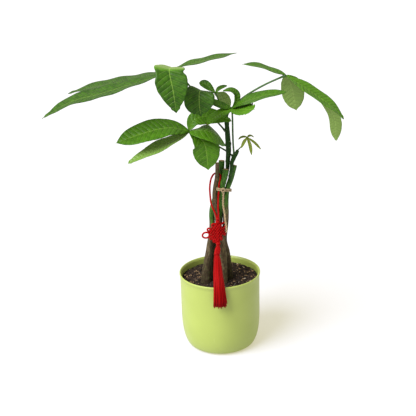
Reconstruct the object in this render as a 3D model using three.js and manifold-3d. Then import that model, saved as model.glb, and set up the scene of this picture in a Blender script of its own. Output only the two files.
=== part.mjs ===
// Potted money tree: four braided trunks in a round plastic pot, two green shoots
// with hand-shaped leaves, a twine tie, and a red knotted charm with a tassel.
// Millimetres. +Z is up. The origin is the centre of the pot's base, on the floor.
// The plant's front, where the charm hangs, faces -Y.

import * as THREE from 'three';
import { mergeVertices } from 'three/addons/utils/BufferGeometryUtils.js';
import Module from 'manifold-3d';

const wasm = await Module();
wasm.setup();

// Clearance between pieces that touch or rest on each other
const GAP = 0.3;

// Pot
const POT_HEIGHT = 117.3;
const POT_RIM_RADIUS = 61.7;
const POT_WALL_RADIUS = 60.5;
const POT_WALL = 2.2;
const POT_FLOOR = 3;
const POT_CORNER_INSET = 13.6;
const POT_CORNER_HEIGHT = 50;
const POT_CORNER_POWER = 2.15;
const POT_CORNER_STEPS = 6;
const POT_FOOT_ROUNDING = 2.5;
const POT_LIP_HEIGHT = 4;
const POT_SEGMENTS = 44;
const DRAIN_COUNT = 4;
const DRAIN_RADIUS = 3.5;
const DRAIN_CIRCLE_RADIUS = 26;

// Soil
const SOIL_TOP = 106.5;
const SOIL_BUMP = 1.5;
const SOIL_RINGS = 5;
const SOIL_SEGMENTS = 32;
const TRUNK_BOTTOM = 58;

// Where the plant stands in the pot: every plant and charm point below is shifted by this
const PLANT_OFFSET = [0.3, 0, 0.3];

// Trunks, each from its cut top down into the soil: [x, y, z, radius]
const TRUNK_SIDES = 10;
const TRUNK_STEPS = 26;
const TRUNKS = {
  trunk_front: [
    [-0.2, -4, 288.5, 2.6], [-0.9, -4, 269, 2.9], [-4.6, -4, 247.5, 3.2], [-5, -6, 233, 3.6],
    [-4, -8, 218, 3.8], [-1, -9, 199.5, 4.2], [2.5, -10, 179, 4.5], [5, -12, 159, 4.8],
    [5.5, -15, 137.5, 5.2], [4.5, -19, 115, 6.4], [4.2, -20.5, 102, 7.4], [4, -21, TRUNK_BOTTOM, 6.5],
  ],
  trunk_left: [
    [6.7, 7, 288.5, 4.4], [5.3, 7, 267, 4.3], [2.5, 6.5, 247, 4.2], [-5, 4, 229.5, 4.2],
    [-9.5, 0, 212.5, 4.2], [-9.8, -2, 192.5, 4.2], [-13, -3, 169.5, 4.4], [-16, -6, 151, 4.7],
    [-19.5, -11, 130, 6.2], [-21, -15, 112, 8], [-21.5, -16, 102, 8.8], [-21.5, -16, TRUNK_BOTTOM, 7],
  ],
  trunk_rear: [
    [12.3, -7, 279, 4.4], [9.8, -7, 266.5, 4.3], [6.5, -6.8, 253, 3.9], [3.5, -4, 232, 4],
    [3, 0.3, 212.5, 4.3], [1.2, 3.4, 196.5, 4.5], [-1, 4.6, 186, 4.5],
    [-5.5, 6, 168.5, 4.5], [-10, 7, 148.5, 4.7],
    [-11.5, 7, 128.5, 5.4], [-11.5, 8, 112, 6.8], [-11.5, 8, 102, 7.3], [-11.5, 8, TRUNK_BOTTOM, 6.5],
  ],
  trunk_right: [
    [24.6, 0.5, 283, 4.3], [19.8, -1.3, 265, 4], [13.5, -3, 247, 3.6], [11.4, -3, 226.5, 3.9],
    [11, -2.8, 207.5, 4.3], [9.7, -1.6, 190.5, 4.4], [7.5, 2, 164.5, 4.6], [11, 1, 147, 4.8],
    [12.5, -2, 131.5, 5.2], [13.5, -4, 114.5, 6.2], [13.5, -4, 102, 7], [13.5, -4, TRUNK_BOTTOM, 6.5],
  ],
};

// Green shoots, each from its root in a trunk up to its tip: [x, y, z, radius]
const SHOOT_SIDES = 8;
const SHOOT_STEPS = 14;
const MAIN_SHOOT = [
  [9.8, -5, 257, 2.2], [11.6, -0.2, 264, 2.5], [14, 3, 272, 2.7], [15.6, 3, 290.5, 3.2],
  [16.8, 2, 305.5, 4], [15.8, 1, 328, 3.8], [14.9, 0, 350, 2.8], [15, 0, 356, 2.1],
];
const SIDE_SHOOT = [
  [18.2, -4, 259, 2.1], [17.9, -6.2, 268, 2.3], [19.9, -6.8, 277.5, 2.4], [21.1, -5.4, 288, 2.8],
  [24, -3.5, 295, 3.2], [27.7, -2.6, 301, 2.9], [30, -2, 305.5, 2.3],
];

// Leaves. Each petiole runs from its stem to the hub where the leaflets meet.
// A leaflet has the path of its midrib, the way its upper side faces at the base
// and at the tip, its width, and the two exponents that shape its outline.
const BLADE_THICKNESS = 0.8;
const MIDRIB_EXTRA = 0.7;
const PETIOLULE_WIDTH = 1.7;
const BLADE_STATIONS = 9;
const SMALL_WIDTH = 7;
const SMALL_STATIONS = 6;
const PETIOLE_SIDES = 6;
const HUB_RADIUS = 2.1;
const MARGIN_WAVE = 0.6;
const LEAVES = {
  leaf_upper_left: {
    colour: 0x3f7d35,
    petiole: [
      [12.5, 0, 334], [0.5, -3, 349.5], [-9, -6, 363.5], [-29, -14, 393.5],
      [-48, -19, 418], [-55, -20, 426.5],
    ],
    petioleRadius: 1.3,
    leaflets: [
      {
        path: [[-55, -20, 426.5], [-72, -15, 421], [-104, -4, 413], [-133, 4, 407.4],
          [-177, 12, 399.5], [-209, 16, 391.2]],
        face: [[0, -0.1, 1], [0, -0.2, 1]], width: 38, rise: 0.85, fall: 0.75, fold: 0.1,
      },
      {
        path: [[-55, -21, 425.5], [-77, -28, 419], [-108.5, -38, 411.5], [-154.5, -50, 400.5],
          [-194, -58, 392], [-231.3, -62, 372.2]],
        face: [[0, -0.1, 1], [0, -0.25, 1]], width: 39, rise: 1.2, fall: 0.9, fold: 0.1,
      },
      {
        path: [[-55, -21, 427], [-58.6, -42, 431.6], [-60.2, -66, 429], [-57.3, -78, 406],
          [-54, -80, 377]],
        face: [[0.12, 0.1, 1], [0, -1, 0.1]], width: 40, rise: 0.9, fall: 0.9, fold: 0.1,
      },
      {
        path: [[-54, -20, 427], [-30, -8, 431.5], [-6.5, 4, 435], [14.5, 14, 438.2], [33, 20.5, 440.5]],
        face: [[0, -0.05, 1], [0, -0.05, 1]], width: 29, rise: 0.75, fall: 0.7, fold: 0.1,
      },
    ],
  },
  leaf_lower_left: {
    colour: 0x4a8f1d,
    petiole: [
      [22, -1, 297.5], [19, 7, 298.5], [14, 9, 302], [7, 5, 307.5], [-15.5, -14, 326.5],
      [-38.5, -25, 340],
    ],
    petioleRadius: 1.3,
    leaflets: [
      {
        path: [[-38.5, -25, 341], [-63.5, -34, 348.5], [-89.5, -42, 346.5], [-116, -48, 340],
          [-138, -52, 333.2]],
        face: [[0, -0.5, 0.79], [0, -0.5, 0.79]], width: 39, rise: 0.72, fall: 0.6, fold: 0.1,
      },
      {
        path: [[-39, -26, 339.5], [-64, -38, 330.8], [-90.7, -50, 320.4], [-107, -56, 314],
          [-122.3, -60, 306.5]],
        face: [[0.1, -0.3, 0.9], [0.1, -0.3, 0.9]], width: 24, rise: 0.85, fall: 0.85, fold: 0.12,
      },
      {
        path: [[-37.5, -26, 341], [-23.5, -31, 342.7], [-9, -30, 340.2], [3.5, -23, 330],
          [12.2, -15, 315.3]],
        face: [[0.1, -0.35, 0.9], [0.5, -0.35, 0.8]], width: 36, rise: 0.65, fall: 0.65, fold: -0.15,
      },
      {
        path: [[-38, -26, 339], [-27, -28, 333], [-18, -31, 325], [-14.8, -33, 308.5],
          [-13.5, -31, 285]],
        face: [[0.3, -0.6, 0.8], [0, -1, 0.1]], width: 38, rise: 0.8, fall: 0.66, fold: 0.08,
      },
      {
        path: [[-38.5, -24.5, 342], [-31, -23, 356], [-14.5, -19, 360], [5, -14, 356.5],
          [21.3, -12.6, 350.5]],
        face: [[-0.3, -0.8, 0.3], [0, -0.8, 0.6]], width: 24, rise: 0.7, fall: 0.8, fold: 0.1,
      },
    ],
  },
  leaf_small_centre: {
    colour: 0x447f1f,
    petiole: [[12.5, 0, 349], [7, -3, 368], [3.5, -6, 380], [0, -8, 390]],
    petioleRadius: 1.1,
    leaflets: [
      {
        path: [[0, -8, 390.5], [-7.6, -6, 397], [-14.2, -4, 402], [-23, -2, 404]],
        face: [[-0.3, -0.8, 0.6], [-0.3, -0.8, 0.6]], width: 11.5, rise: 1, fall: 0.5, fold: 0.1,
      },
      {
        path: [[0.3, -8, 390.5], [5, -3, 395], [11, 2, 397], [17, 6, 397.5]],
        face: [[0, -0.4, 0.9], [0, -0.4, 0.9]], width: 8, rise: 0.8, fall: 0.7, fold: 0.1,
      },
      {
        path: [[0.5, -7.5, 390], [7, 1, 386], [13.3, 7, 376], [17, 11, 363]],
        face: [[0.1, 0.6, 0.8], [0.3, 1, 0.3]], width: 18, rise: 0.5, fall: 0.45, fold: 0.08,
      },
      {
        path: [[-0.5, -8.5, 390.5], [-14, -28, 395], [-21.4, -45, 399], [-22.6, -54, 393.2],
          [-22.6, -58, 381.2], [-20.6, -59, 367.2]],
        face: [[0, 0, 1], [0, -1, 0.1]], width: 40, rise: 1.8, fall: 0.6, fold: 0.08,
      },
    ],
  },
  leaf_centre: {
    colour: 0x4b8a2a,
    petiole: [
      [24.5, -3, 300.5], [23.6, -4, 310.5], [23, -6, 332.5], [23, -7, 348.5], [22.5, -8, 367.5],
    ],
    petioleRadius: 1.4,
    leaflets: [
      {
        path: [[22.3, -8.5, 368.3], [8, -13, 373], [-2.5, -16, 378], [-12.5, -19, 383.5]],
        face: [[-0.2, -0.6, 0.8], [-0.2, -0.6, 0.8]], width: 13.5, rise: 0.8, fall: 0.6, fold: 0.1,
      },
      {
        path: [[22.2, -8.5, 367.8], [8, -21, 364.5], [-4.5, -32, 359.8], [-14.2, -40, 352]],
        face: [[-0.2, -0.45, 0.9], [-0.3, -0.45, 0.8]], width: 20.5, rise: 0.7, fall: 0.6, fold: 0.1,
      },
      {
        path: [[23, -7.5, 368.5], [29.3, -4, 377], [29.8, -3, 386.5], [22, -5, 393],
          [10, -7, 392.3]],
        face: [[0.5, -0.85, 0.1], [0, -0.6, 0.8]], width: 9.5, rise: 0.8, fall: 0.7, fold: 0.1,
      },
      {
        path: [[23, -8.5, 368.5], [37.5, -13, 376.5], [53.5, -17, 382.5], [74, -21, 388],
          [97, -25, 391]],
        face: [[0, -0.28, 0.97], [0, -0.25, 0.97]], width: 30, rise: 0.6, fall: 0.7, fold: 0.12,
      },
      {
        path: [[23, -9, 367.5], [32.5, -22, 368.5], [43, -33, 370], [51.8, -41, 371.8]],
        face: [[-0.1, -0.45, 0.9], [-0.1, -0.45, 0.9]], width: 29, rise: 0.55, fall: 0.3, fold: 0.08,
      },
    ],
  },
  leaf_upper_right: {
    colour: 0x4c8a3a,
    petiole: [
      [14.9, 0, 355.5], [22, 3, 365], [39.5, 6, 380], [52.5, 7, 388], [72, 7, 398], [99, 5, 409.5],
    ],
    petioleRadius: 1.5,
    leaflets: [
      {
        path: [[99, 5, 410], [80, 11, 415.8], [59, 15, 422.8], [39, 17, 425]],
        face: [[0, -0.12, 1], [0, -0.12, 1]], width: 24, rise: 0.8, fall: 0.7, fold: 0.12,
      },
      {
        path: [[99.5, 6, 409.5], [107, 15, 396], [112.8, 22, 376], [117, 25, 355]],
        face: [[0, 0.5, 0.9], [0, 1, 0.2]], width: 32, rise: 0.62, fall: 0.55, fold: 0.08,
      },
      {
        path: [[99.5, 4.5, 409.5], [121, -3, 395.7], [146.8, -9, 378], [165, -12, 364.5],
          [179, -13, 348.5]],
        face: [[0.3, -0.4, 0.85], [0.3, -0.4, 0.85]], width: 27.5, rise: 0.7, fall: 0.7, fold: 0.12,
      },
      {
        path: [[99.8, 5.5, 409.5], [127, 15, 387], [156, 23, 366], [172.5, 27, 344],
          [177, 28, 307.5]],
        face: [[0.3, 0.2, 0.9], [0.3, 1, 0.2]], width: 18, rise: 3, fall: 0.75, fold: 0.1,
      },
    ],
  },
  leaf_young: {
    colour: 0x7fa02c,
    petiole: [[30, -2, 305.8], [38, -3, 314.5], [43.6, -3, 324.3]],
    petioleRadius: 0.9,
    leaflets: [
      {
        path: [[43.6, -3, 324.6], [39.1, -1, 324.8], [34.6, 1.2, 323.3], [31.1, 2, 320.3]],
        face: [[0, -0.4, 0.9], [-0.4, -0.4, 0.8]], width: 4.5, rise: 0.7, fall: 0.7, fold: 0.2,
      },
      {
        path: [[43.4, -3.3, 324.1], [39.1, -8, 319.3], [34.6, -9, 310.3]],
        face: [[-0.3, -0.7, 0.7], [-0.5, -0.8, 0.4]], width: 5, rise: 0.7, fall: 0.7, fold: 0.2,
      },
      {
        path: [[43.6, -3.4, 324], [47.1, -11, 314.3], [49.1, -12, 300.3]],
        face: [[0, -0.7, 0.7], [0, -1, 0.3]], width: 5, rise: 0.7, fall: 0.7, fold: 0.2,
      },
      {
        path: [[43.8, -3.2, 324.1], [52.6, -8, 318.3], [62.6, -9, 307.8]],
        face: [[0.3, -0.6, 0.7], [0.5, -0.7, 0.5]], width: 4.5, rise: 0.7, fall: 0.7, fold: 0.2,
      },
      {
        path: [[43.8, -2.8, 324.6], [48.6, 2, 325.4], [54.1, 4, 322.3]],
        face: [[0, -0.4, 0.9], [0.2, -0.4, 0.9]], width: 4.5, rise: 0.7, fall: 0.7, fold: 0.2,
      },
    ],
  },
};

// Twine tie round three of the trunks, with its knot and its hanging tail
const TWINE_RADIUS = 1.2;
const TIE_HEIGHTS = [248.8, 251.1];
const TIE_SLOPE = [-0.18, -0.16];
const TIE_ROUTE = [
  [-1.3, -11.4], [-0.9, -8.2], [0.8, -4.6], [-0.9, 0.8], [-3.4, 5.6], [-2, 10.8], [2.6, 12.6],
  [8, 11.4], [13.2, 7.2], [17.3, 2.6], [19.3, -3], [16.9, -7.6], [12.6, -10.4], [7.6, -12],
  [3.6, -13.2], [0.5, -13],
];
const TIE_STEPS = 26;
const TIE_SIDES = 6;
const TIE_KNOT = [7.2, -14, 249.9];
const TIE_KNOT_RADIUS = 2.5;
const TAIL_ROUTE = [
  [7.6, -14.6, 245.6], [7.4, -14.4, 240], [6.8, -14.2, 231.5], [7.3, -15.2, 223.5],
  [8.8, -17.2, 214], [9.3, -19, 206], [10.6, -20.5, 197], [11, -20.5, 187],
];
const TAIL_STEPS = 14;

// Charm: hanging cord, woven knot with its ears, and tassel
const CHARM_CORD_RADIUS = 1.15;
const CHARM_CORD_ROUTE = [
  [-0.3, -17.4, 207.8], [-0.6, -16, 219], [-0.3, -13.4, 230.5], [0.4, -10.9, 241],
  [1.3, -9.9, 248], [1.4, -8.9, 254], [2.4, -7, 260], [4.4, -4.4, 266.5], [3.6, -1.4, 270],
  [1.3, 0.2, 271.6], [-2.1, 0.3, 272], [-5, -2.6, 271.5], [-8.2, -5, 268.4],
  [-10.2, -6.8, 263], [-11.8, -8.5, 254], [-11.6, -11, 241], [-10.1, -13.5, 228],
  [-7.3, -15, 221], [-4.6, -16, 214.5], [-2.8, -17.4, 207.8],
];
const CHARM_CORD_STEPS = 46;
const KNOT_CENTRE = [-3.2, -19.2, 186.5];
const KNOT_HALF_WIDTH = 11.6;
const KNOT_HALF_HEIGHT = 15.5;
const KNOT_BEND = 0.045;
const KNOT_CORD_RADIUS = 1.2;
const KNOT_CORDS_EACH_WAY = 6;
const KNOT_CORD_SIDES = 5;
const KNOT_CORD_STEPS = 2;
const KNOT_WEAVE = 0.6;
const KNOT_EARS = [
  { along: -4.7, up: 11.2, radius: 2.5, turn: 0 },
  { along: -11.3, up: 4.7, radius: 2.5, turn: 0 },
  { along: -16.2, up: -3.6, radius: 4.8, turn: 0 },
  { along: -8.5, up: -8.2, radius: 2.1, turn: 0 },
  { along: -3.7, up: -12.6, radius: 2.2, turn: 0 },
  { along: 5.2, up: 11.6, radius: 2, turn: 0.9 },
  { along: 9.4, up: 9.4, radius: 4.2, turn: 0.5 },
  { along: 11.4, up: -4.4, radius: 2.2, turn: 1.1 },
  { along: 6.2, up: -10.2, radius: 2, turn: 0.9 },
];
const BUTTONS = [
  { at: [-1.6, -18, 203.6], radius: 3.8 },
  { at: [-2, -20.4, 169.5], radius: 3.9 },
];
// Tassel, from the top of its head to its cut end: [x, y, z, half width, half depth]
const TASSEL = [
  [-2.2, -22, 165.3, 2, 2], [-2.6, -23.5, 163, 3.6, 3.4], [-3.2, -25.6, 160.2, 3.9, 3.6],
  [-4, -28.6, 156.6, 4, 3.6], [-4.2, -29.8, 155.2, 3.6, 3.3], [-4.2, -33, 151.6, 4.9, 3.6],
  [-3.8, -39.6, 146, 5.6, 3.8], [-3.8, -48, 139.4, 6.4, 3.9], [-3.5, -56.4, 132.2, 6.9, 4],
  [-3.1, -63.1, 124.6, 7.3, 4], [-2.8, -67.7, 116, 7.7, 4], [-2.6, -69.7, 104.5, 8.2, 4.1],
  [-2.5, -69.9, 92, 8.7, 4.3],
];
const TASSEL_SIDES = 24;
const TASSEL_FLUTE = 0.07;
const TASSEL_RAGGED = 1.6;

const PLASTIC = 0xb4cf5a;
const SOIL = 0x33241a;
const BARK = 0x6a5844;
const SHOOT = 0x3a5c22;
const TWINE = 0xa98f6a;
const RED = 0xb5121b;

const vector = (p) => new THREE.Vector3(p[0], p[1], p[2]);
const curveThrough = (points) => new THREE.CatmullRomCurve3(points.map(vector));

function material(colour, roughness) {
  return new THREE.MeshStandardMaterial({ color: colour, roughness, metalness: 0 });
}

function indexed(positions, triangles) {
  const geometry = new THREE.BufferGeometry();
  geometry.setAttribute('position', new THREE.Float32BufferAttribute(positions, 3));
  geometry.setIndex(triangles);
  return geometry;
}

// Solid and geometry conversions for cutting and joining
function solid(geometry) {
  let shape = geometry.clone();
  shape.deleteAttribute('normal');
  shape.deleteAttribute('uv');
  shape = mergeVertices(shape, 1e-4);
  return new wasm.Manifold(new wasm.Mesh({
    numProp: 3,
    vertProperties: new Float32Array(shape.attributes.position.array),
    triVerts: new Uint32Array(shape.index.array),
  }));
}

function geometryOf(body) {
  const mesh = body.getMesh();
  return indexed(Array.from(mesh.vertProperties), Array.from(mesh.triVerts));
}

function joined(geometries) {
  return geometries.map(solid).reduce((whole, next) => whole.add(next));
}

// Closed body through a row of rings with as many points each
function loft(rings) {
  const sides = rings[0].length;
  const positions = [];
  const triangles = [];
  for (const ring of rings) {
    for (const p of ring) positions.push(p.x, p.y, p.z);
  }
  for (let i = 0; i + 1 < rings.length; i += 1) {
    for (let j = 0; j < sides; j += 1) {
      const a = i * sides + j;
      const b = i * sides + (j + 1) % sides;
      triangles.push(a, b, b + sides, a, b + sides, a + sides);
    }
  }
  const ends = [rings[0], rings[rings.length - 1]];
  ends.forEach((ring, end) => {
    const centre = new THREE.Vector3();
    for (const p of ring) centre.addScaledVector(p, 1 / sides);
    const middle = positions.length / 3;
    const first = end === 0 ? 0 : (rings.length - 1) * sides;
    positions.push(centre.x, centre.y, centre.z);
    for (let j = 0; j < sides; j += 1) {
      const a = first + j;
      const b = first + (j + 1) % sides;
      if (end === 0) triangles.push(middle, b, a);
      else triangles.push(middle, a, b);
    }
  });
  return indexed(positions, triangles);
}

// Round body along a curve, its radius following the last number of each point
function limb(points, sides, steps, grow = 0) {
  const curve = curveThrough(points);
  const rings = [];
  const across = new THREE.Vector3(1, 0.2, 0.1);
  for (let i = 0; i <= steps; i += 1) {
    const t = i / steps;
    const centre = curve.getPoint(t);
    const along = curve.getTangent(t);
    const place = t * (points.length - 1);
    const low = Math.min(Math.floor(place), points.length - 2);
    const radius = THREE.MathUtils.lerp(points[low][3], points[low + 1][3], place - low) + grow;
    across.addScaledVector(along, -across.dot(along)).normalize();
    const third = along.clone().cross(across);
    if (grow > 0 && i === 0) centre.addScaledVector(along, -grow);
    if (grow > 0 && i === steps) centre.addScaledVector(along, grow);
    const ring = [];
    for (let j = 0; j < sides; j += 1) {
      const angle = (2 * Math.PI * j) / sides;
      const p = centre.clone();
      p.addScaledVector(across, radius * Math.cos(angle));
      p.addScaledVector(third, radius * Math.sin(angle));
      ring.push(p);
    }
    rings.push(ring);
  }
  return loft(rings);
}

// Cord or thin stalk of one size along a curve
function cord(points, radius, sides, steps) {
  const outline = [];
  for (let j = 0; j < sides; j += 1) {
    const angle = (2 * Math.PI * j) / sides;
    outline.push(new THREE.Vector2(radius * Math.cos(angle), radius * Math.sin(angle)));
  }
  return new THREE.ExtrudeGeometry(new THREE.Shape(outline), {
    steps,
    bevelEnabled: false,
    extrudePath: curveThrough(points),
  });
}

// Closed turn of twine, sloping down towards the right and the back
function twine_turn(route, height) {
  const curve = new THREE.CatmullRomCurve3(route.map((p) => {
    const drop = TIE_SLOPE[0] * (p[0] - TIE_KNOT[0]) + TIE_SLOPE[1] * (p[1] - TIE_KNOT[1]);
    return new THREE.Vector3(p[0], p[1], height + drop);
  }), true);
  const sides = TIE_SIDES;
  const positions = [];
  const triangles = [];
  for (let i = 0; i < TIE_STEPS; i += 1) {
    const centre = curve.getPoint(i / TIE_STEPS);
    const along = curve.getTangent(i / TIE_STEPS);
    const out = new THREE.Vector3(along.y, -along.x, 0).normalize();
    for (let j = 0; j < sides; j += 1) {
      const angle = (2 * Math.PI * j) / sides;
      const reach = TWINE_RADIUS * Math.cos(angle);
      positions.push(
        centre.x + out.x * reach,
        centre.y + out.y * reach,
        centre.z + TWINE_RADIUS * Math.sin(angle),
      );
      const next = (i + 1) % TIE_STEPS;
      const a = i * sides + j;
      const b = i * sides + (j + 1) % sides;
      const c = next * sides + (j + 1) % sides;
      const d = next * sides + j;
      triangles.push(a, c, b, a, d, c);
    }
  }
  return indexed(positions, triangles);
}

// Thin leaflet blade with a raised midrib, split alike on both faces
function blade(leaf) {
  const curve = curveThrough(leaf.path);
  const widest = leaf.rise / (leaf.rise + leaf.fall);
  const faces = leaf.face.map((f) => vector(f).normalize());
  const small = leaf.width < SMALL_WIDTH;
  const columns = small ? [-1, 0, 1] : [-1, -0.5, 0, 0.5, 1];
  const stations = small ? SMALL_STATIONS : BLADE_STATIONS;
  const count = columns.length;
  const length = curve.getLength();
  const positions = [];
  const triangles = [];
  for (let i = 0; i <= stations; i += 1) {
    const s = i / stations;
    const t = s - 0.07 * Math.sin(2 * Math.PI * s);
    const centre = curve.getPointAt(t);
    const along = curve.getTangentAt(t);
    const face = faces[0].clone().lerp(faces[1], t);
    const side = along.clone().cross(face).normalize();
    const normal = side.clone().cross(along);
    const swell = (t / widest) ** leaf.rise * ((1 - t) / (1 - widest)) ** leaf.fall;
    const reach = Math.max((leaf.width / 2) * swell, (PETIOLULE_WIDTH / 2) * (1 - 0.5 * t));
    const wave = Math.min(MARGIN_WAVE, leaf.width * 0.03) * Math.sin(t * length * 0.16);
    const thin = BLADE_THICKNESS + 0.9 * Math.max(0, 1 - t / 0.1);
    for (const layer of [0.5, -0.5]) {
      for (const u of columns) {
        const lift = leaf.fold * Math.abs(u) * reach + wave * u * Math.abs(u);
        const rib = layer < 0 && u === 0 ? -MIDRIB_EXTRA * (1 - t) : 0;
        const p = centre.clone();
        p.addScaledVector(side, u * reach);
        p.addScaledVector(normal, lift + layer * thin + rib);
        positions.push(p.x, p.y, p.z);
      }
    }
  }
  const top = (i, j) => i * 2 * count + j;
  const bottom = (i, j) => i * 2 * count + count + j;
  for (let i = 0; i < stations; i += 1) {
    for (let j = 0; j + 1 < count; j += 1) {
      triangles.push(top(i, j), top(i, j + 1), top(i + 1, j + 1));
      triangles.push(top(i, j), top(i + 1, j + 1), top(i + 1, j));
      triangles.push(bottom(i, j), bottom(i + 1, j + 1), bottom(i, j + 1));
      triangles.push(bottom(i, j), bottom(i + 1, j), bottom(i + 1, j + 1));
    }
    const right = count - 1;
    triangles.push(top(i, right), bottom(i, right), bottom(i + 1, right));
    triangles.push(top(i, right), bottom(i + 1, right), top(i + 1, right));
    triangles.push(top(i, 0), bottom(i + 1, 0), bottom(i, 0));
    triangles.push(top(i, 0), top(i + 1, 0), bottom(i + 1, 0));
  }
  for (let j = 0; j + 1 < count; j += 1) {
    const last = stations;
    triangles.push(top(0, j), bottom(0, j), bottom(0, j + 1));
    triangles.push(top(0, j), bottom(0, j + 1), top(0, j + 1));
    triangles.push(top(last, j), bottom(last, j + 1), bottom(last, j));
    triangles.push(top(last, j), top(last, j + 1), bottom(last, j + 1));
  }
  return indexed(positions, triangles);
}

function ball(at, radius, across = 8, up = 6) {
  const geometry = new THREE.SphereGeometry(radius, across, up);
  geometry.rotateX(Math.PI / 2);
  geometry.translate(at[0], at[1], at[2]);
  return geometry;
}

// Radius of the pot's outside at a height below the lip
function pot_radius(z) {
  const depth = Math.max(0, 1 - z / POT_CORNER_HEIGHT);
  const inset = 1 - (1 - depth ** POT_CORNER_POWER) ** (1 / POT_CORNER_POWER);
  return POT_WALL_RADIUS - POT_CORNER_INSET * inset;
}

function turned(profile, segments) {
  const geometry = new THREE.LatheGeometry(profile.map((p) => new THREE.Vector2(p[0], p[1])), segments);
  geometry.rotateX(Math.PI / 2);
  return geometry;
}

function pot_body() {
  const profile = [[0, 0], [pot_radius(0) - POT_FOOT_ROUNDING, 0]];
  for (let i = 1; i <= POT_CORNER_STEPS; i += 1) {
    const z = POT_CORNER_HEIGHT * (i / POT_CORNER_STEPS) ** 1.9 + 0.6;
    profile.push([pot_radius(z), z]);
  }
  const lip = POT_HEIGHT - POT_LIP_HEIGHT;
  const inside = POT_RIM_RADIUS - POT_WALL;
  profile.push([POT_WALL_RADIUS + 0.1, lip]);
  profile.push([POT_RIM_RADIUS, lip + 0.8]);
  profile.push([POT_RIM_RADIUS, POT_HEIGHT - 1]);
  profile.push([POT_RIM_RADIUS - 0.5, POT_HEIGHT - 0.2]);
  profile.push([POT_RIM_RADIUS - 1.1, POT_HEIGHT]);
  profile.push([inside + 0.3, POT_HEIGHT - 0.3]);
  profile.push([inside, POT_HEIGHT - 1.2]);
  profile.push([POT_WALL_RADIUS - POT_WALL, lip]);
  for (let i = POT_CORNER_STEPS; i >= 1; i -= 1) {
    const z = POT_CORNER_HEIGHT * (i / POT_CORNER_STEPS) ** 1.9;
    if (z > POT_FLOOR + 1) profile.push([pot_radius(z) - POT_WALL, z]);
  }
  profile.push([pot_radius(POT_FLOOR) - POT_WALL - 1.5, POT_FLOOR]);
  profile.push([0, POT_FLOOR]);
  let body = solid(turned(profile, POT_SEGMENTS));
  for (let i = 0; i < DRAIN_COUNT; i += 1) {
    const angle = (2 * Math.PI * (i + 0.5)) / DRAIN_COUNT;
    const hole = new THREE.CylinderGeometry(DRAIN_RADIUS, DRAIN_RADIUS, 4 * POT_FLOOR, 16);
    hole.rotateX(Math.PI / 2);
    hole.translate(DRAIN_CIRCLE_RADIUS * Math.cos(angle), DRAIN_CIRCLE_RADIUS * Math.sin(angle), 0);
    body = body.subtract(solid(hole));
  }
  return body;
}

function soil_body(trunks) {
  const bottom = POT_FLOOR + GAP;
  const reach = (z) => pot_radius(z) - POT_WALL - GAP - 0.2;
  const profile = [[0, bottom], [reach(bottom) - 1.8, bottom]];
  for (let i = 2; i <= POT_CORNER_STEPS; i += 1) {
    const z = POT_CORNER_HEIGHT * (i / POT_CORNER_STEPS) ** 1.9;
    if (z > bottom + 1) profile.push([reach(z), z]);
  }
  for (let i = SOIL_RINGS; i >= 0; i -= 1) {
    profile.push([(reach(SOIL_TOP) * i) / SOIL_RINGS, SOIL_TOP]);
  }
  const geometry = turned(profile, SOIL_SEGMENTS);
  const place = geometry.attributes.position;
  for (let i = 0; i < place.count; i += 1) {
    if (place.getZ(i) > SOIL_TOP - 0.1) {
      const x = place.getX(i);
      const y = place.getY(i);
      const bump = Math.sin(x * 0.21 + 1) * Math.cos(y * 0.17) + 0.5 * Math.sin(x * 0.43 - y * 0.37);
      place.setZ(i, SOIL_TOP + (SOIL_BUMP * bump) / 1.5);
    }
  }
  let body = solid(geometry);
  for (const points of Object.values(trunks)) {
    const hole = limb(points, TRUNK_SIDES, TRUNK_STEPS, GAP);
    hole.translate(...PLANT_OFFSET);
    body = body.subtract(solid(hole));
  }
  return body;
}

function shoot_body(points, trunk) {
  const root = solid(limb(TRUNKS[trunk], TRUNK_SIDES, TRUNK_STEPS, GAP));
  return solid(limb(points, SHOOT_SIDES, SHOOT_STEPS)).subtract(root);
}

function leaf_body(leaf, stems) {
  const pieces = leaf.leaflets.map(blade);
  const hub = leaf.petiole[leaf.petiole.length - 1];
  const stalk = leaf.petiole.map((p, i) => {
    const swell = i === 0 ? 1.5 : 1;
    return [p[0], p[1], p[2], leaf.petioleRadius * swell];
  });
  pieces.push(limb(stalk, PETIOLE_SIDES, 3 * leaf.petiole.length));
  pieces.push(ball(hub, Math.min(HUB_RADIUS, leaf.petioleRadius * 1.7)));
  let body = joined(pieces);
  for (const stem of stems) {
    body = body.subtract(solid(limb(stem, SHOOT_SIDES, SHOOT_STEPS, GAP)));
  }
  return body;
}

function tie_body() {
  const pieces = TIE_HEIGHTS.map((height) => twine_turn(TIE_ROUTE, height));
  const eye = new THREE.TorusGeometry(TIE_KNOT_RADIUS, TWINE_RADIUS, TIE_SIDES, 12);
  eye.rotateX(Math.PI / 2);
  eye.translate(TIE_KNOT[0], TIE_KNOT[1], TIE_KNOT[2]);
  pieces.push(eye);
  return joined(pieces);
}

// Point of the woven knot: its right half bends back round the trunks
function knot_point(along, up, lift) {
  const back = along > 0 ? KNOT_BEND * along * along : 0;
  return [KNOT_CENTRE[0] + along, KNOT_CENTRE[1] + back + lift, KNOT_CENTRE[2] + up];
}

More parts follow.
